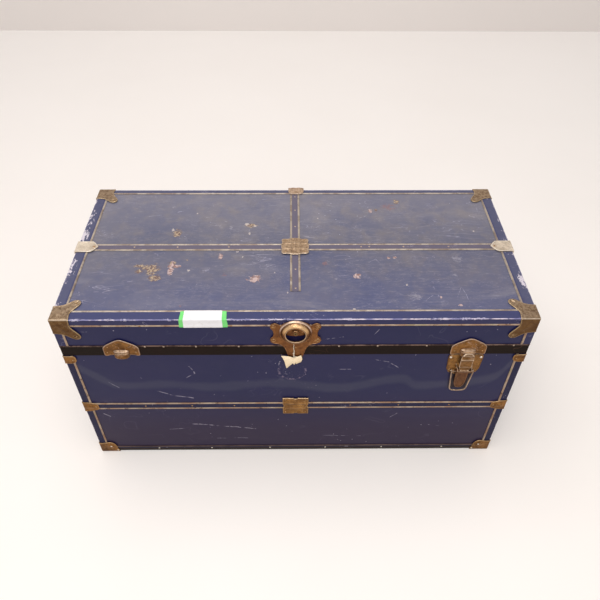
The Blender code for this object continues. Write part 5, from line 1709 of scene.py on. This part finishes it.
def cord(name, points, radius, material):
    """A round string in front of the trunk, riding on the lid."""
    curve = bpy.data.curves.new(name, "CURVE")
    curve.dimensions = "3D"
    curve.bevel_depth = radius * MM
    curve.bevel_resolution = 3
    curve.use_fill_caps = True
    spline = curve.splines.new("BEZIER")
    spline.bezier_points.add(len(points) - 1)
    for knot, (x, proud, z) in zip(spline.bezier_points, points):
        knot.co = Vector((x, -(HALF_Y + proud), z)) * MM
        knot.handle_left_type = knot.handle_right_type = "AUTO"
    curve.materials.append(material)
    obj = bpy.data.objects.new(name, curve)
    bpy.context.scene.collection.objects.link(obj)
    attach(obj, "lid")


torn_tag()
cotton = string_material()
cord("tag_string", STRING, 0.65, cotton)
cord("tag_string_end", STRING_END, 0.5, cotton)
shape = bmesh.new()
for x, z, radius in KNOTS:
    dome(shape, "front", x, z, 4.6 if z > 350 else 5.9, radius, radius * 0.9, steps=10)
make(shape, "tag_string_knots", cotton, "lid")


# ------------------------------------------------------------------ handle stitching
def stitching(label, hand):
    """A stitched seam under the handle's grip: short spindles along y."""
    shape = bmesh.new()
    count = 15
    for i in range(count):
        y = -31.5 + 63.0 * i / (count - 1)
        grip = 7.2 + 0.4 * math.cos(y / 36 * math.pi / 2)
        centre = Vector((hand * (HALF_X + 8.0) + hand * (grip * 0.985), y,
                         HANDLE_Z - 46.0 - 1.2 + 1.2 * abs(y) / 36))
        loops = []
        for along, scale in ((-1.45, 0.25), (-0.9, 0.9), (0, 1.0), (0.9, 0.9), (1.45, 0.25)):
            sink = 0.35 if abs(along) > 1 else 0
            loops.append([
                shape.verts.new(centre + Vector((hand * (x * scale - sink), along,
                                                 z * scale + along * 0.18)))
                for x, z in circle(0.0, 0.0, 0.55, 6)])
        skin(shape, loops)
        shape.faces.new(loops[0])
        shape.faces.new(list(reversed(loops[-1])))
    make(shape, "handle_stitching_" + label, cotton, "handle_" + label)


for label, hand in SIDES:
    stitching(label, hand)


# ------------------------------------------------------------------ studio, in metres
def floor_material():
    """Floor that glows a little for the camera alone."""
    mat = Shader("studio_floor")
    glow = mat.source("ShaderNodeLightPath", "Is Camera Ray") * 0.22
    mat.put(mat.bsdf.inputs["Emission Color"], (0.95, 0.97, 1.0, 1.0))
    mat.put(mat.bsdf.inputs["Emission Strength"], glow)
    base = mat.noise(2, rough=0.5).fade((230, 223, 217), (225, 217, 210))
    return mat.finish(base, 0.7, specular=0.2)


def wall_material():
    mat = Shader("studio_wall")
    base = mat.noise(1, detail=2, rough=0.5).fade((250, 245, 242), (246, 240, 237))
    return mat.finish(base, 0.9, specular=0.1)


def plane(name, corners, material):
    mesh = bpy.data.meshes.new(name)
    mesh.from_pydata(corners, [], [tuple(range(len(corners)))])
    obj = bpy.data.objects.new(name, mesh)
    bpy.context.scene.collection.objects.link(obj)
    mesh.materials.append(material)


def area(name, at, aim, size, power, colour):
    light = bpy.data.lights.new(name, "AREA")
    light.shape = "RECTANGLE"
    light.size, light.size_y = size
    light.energy = power
    light.color = colour
    obj = bpy.data.objects.new(name, light)
    bpy.context.scene.collection.objects.link(obj)
    obj.location = at
    obj.rotation_euler = (Vector(aim) - Vector(at)).to_track_quat("-Z", "Y").to_euler()


def add_camera(at, yaw, pitch, roll_angle, lens):
    """Camera at a point; yaw turns it from +y towards +x, pitch tips it down; radians."""
    cam = bpy.data.cameras.new("camera")
    cam.sensor_width = 36.0
    cam.lens = lens
    camera = bpy.data.objects.new("camera", cam)
    bpy.context.scene.collection.objects.link(camera)
    forward = Vector((math.sin(yaw) * math.cos(pitch), math.cos(yaw) * math.cos(pitch),
                      -math.sin(pitch)))
    level = Vector((math.cos(yaw), -math.sin(yaw), 0.0))
    upright = level.cross(forward)
    right = level * math.cos(roll_angle) + upright * math.sin(roll_angle)
    above = -level * math.sin(roll_angle) + upright * math.cos(roll_angle)
    rows = [(right[i], above[i], -forward[i], at[i]) for i in range(3)]
    camera.matrix_world = Matrix((*rows, (0, 0, 0, 1)))
    bpy.context.scene.camera = camera


HALF_STAGE, STAGE_BACK, WALL_HEIGHT = 6, 2.4, 5
plane("floor", [(-HALF_STAGE, -HALF_STAGE, 0), (HALF_STAGE, -HALF_STAGE, 0),
                (HALF_STAGE, STAGE_BACK, 0), (-HALF_STAGE, STAGE_BACK, 0)], floor_material())
plane("backdrop", [(-HALF_STAGE, STAGE_BACK, 0), (HALF_STAGE, STAGE_BACK, 0),
                   (HALF_STAGE, STAGE_BACK, WALL_HEIGHT), (-HALF_STAGE, STAGE_BACK, WALL_HEIGHT)],
      wall_material())

area("soft_top", at=(-0.5, -0.2, 2.7), aim=(0, 0, 0.4), size=(2.6, 2.0), power=38,
     colour=(1.0, 0.98, 0.96))
area("front_fill", at=(0.9, -2.6, 1.9), aim=(0, -0.1, 0.3), size=(1.8, 1.4), power=12,
     colour=(1.0, 0.96, 0.92))
area("flash", at=(-0.15, -1.15, 1.65), aim=(0, -0.1, 0.35), size=(0.5, 0.35), power=5,
     colour=(1.0, 0.97, 0.93))

world = bpy.data.worlds.new("studio")
bpy.context.scene.world = world
world.use_nodes = True
background = world.node_tree.nodes["Background"]
background.inputs["Color"].default_value = (0.93, 0.91, 0.90, 1.0)
background.inputs["Strength"].default_value = 0.62

add_camera(at=(-0.005161, -0.973734, 1.248947), yaw=0.016849, pitch=0.776896,
           roll_angle=0.0086848, lens=35.90)
bpy.context.scene.view_settings.view_transform = "Standard"
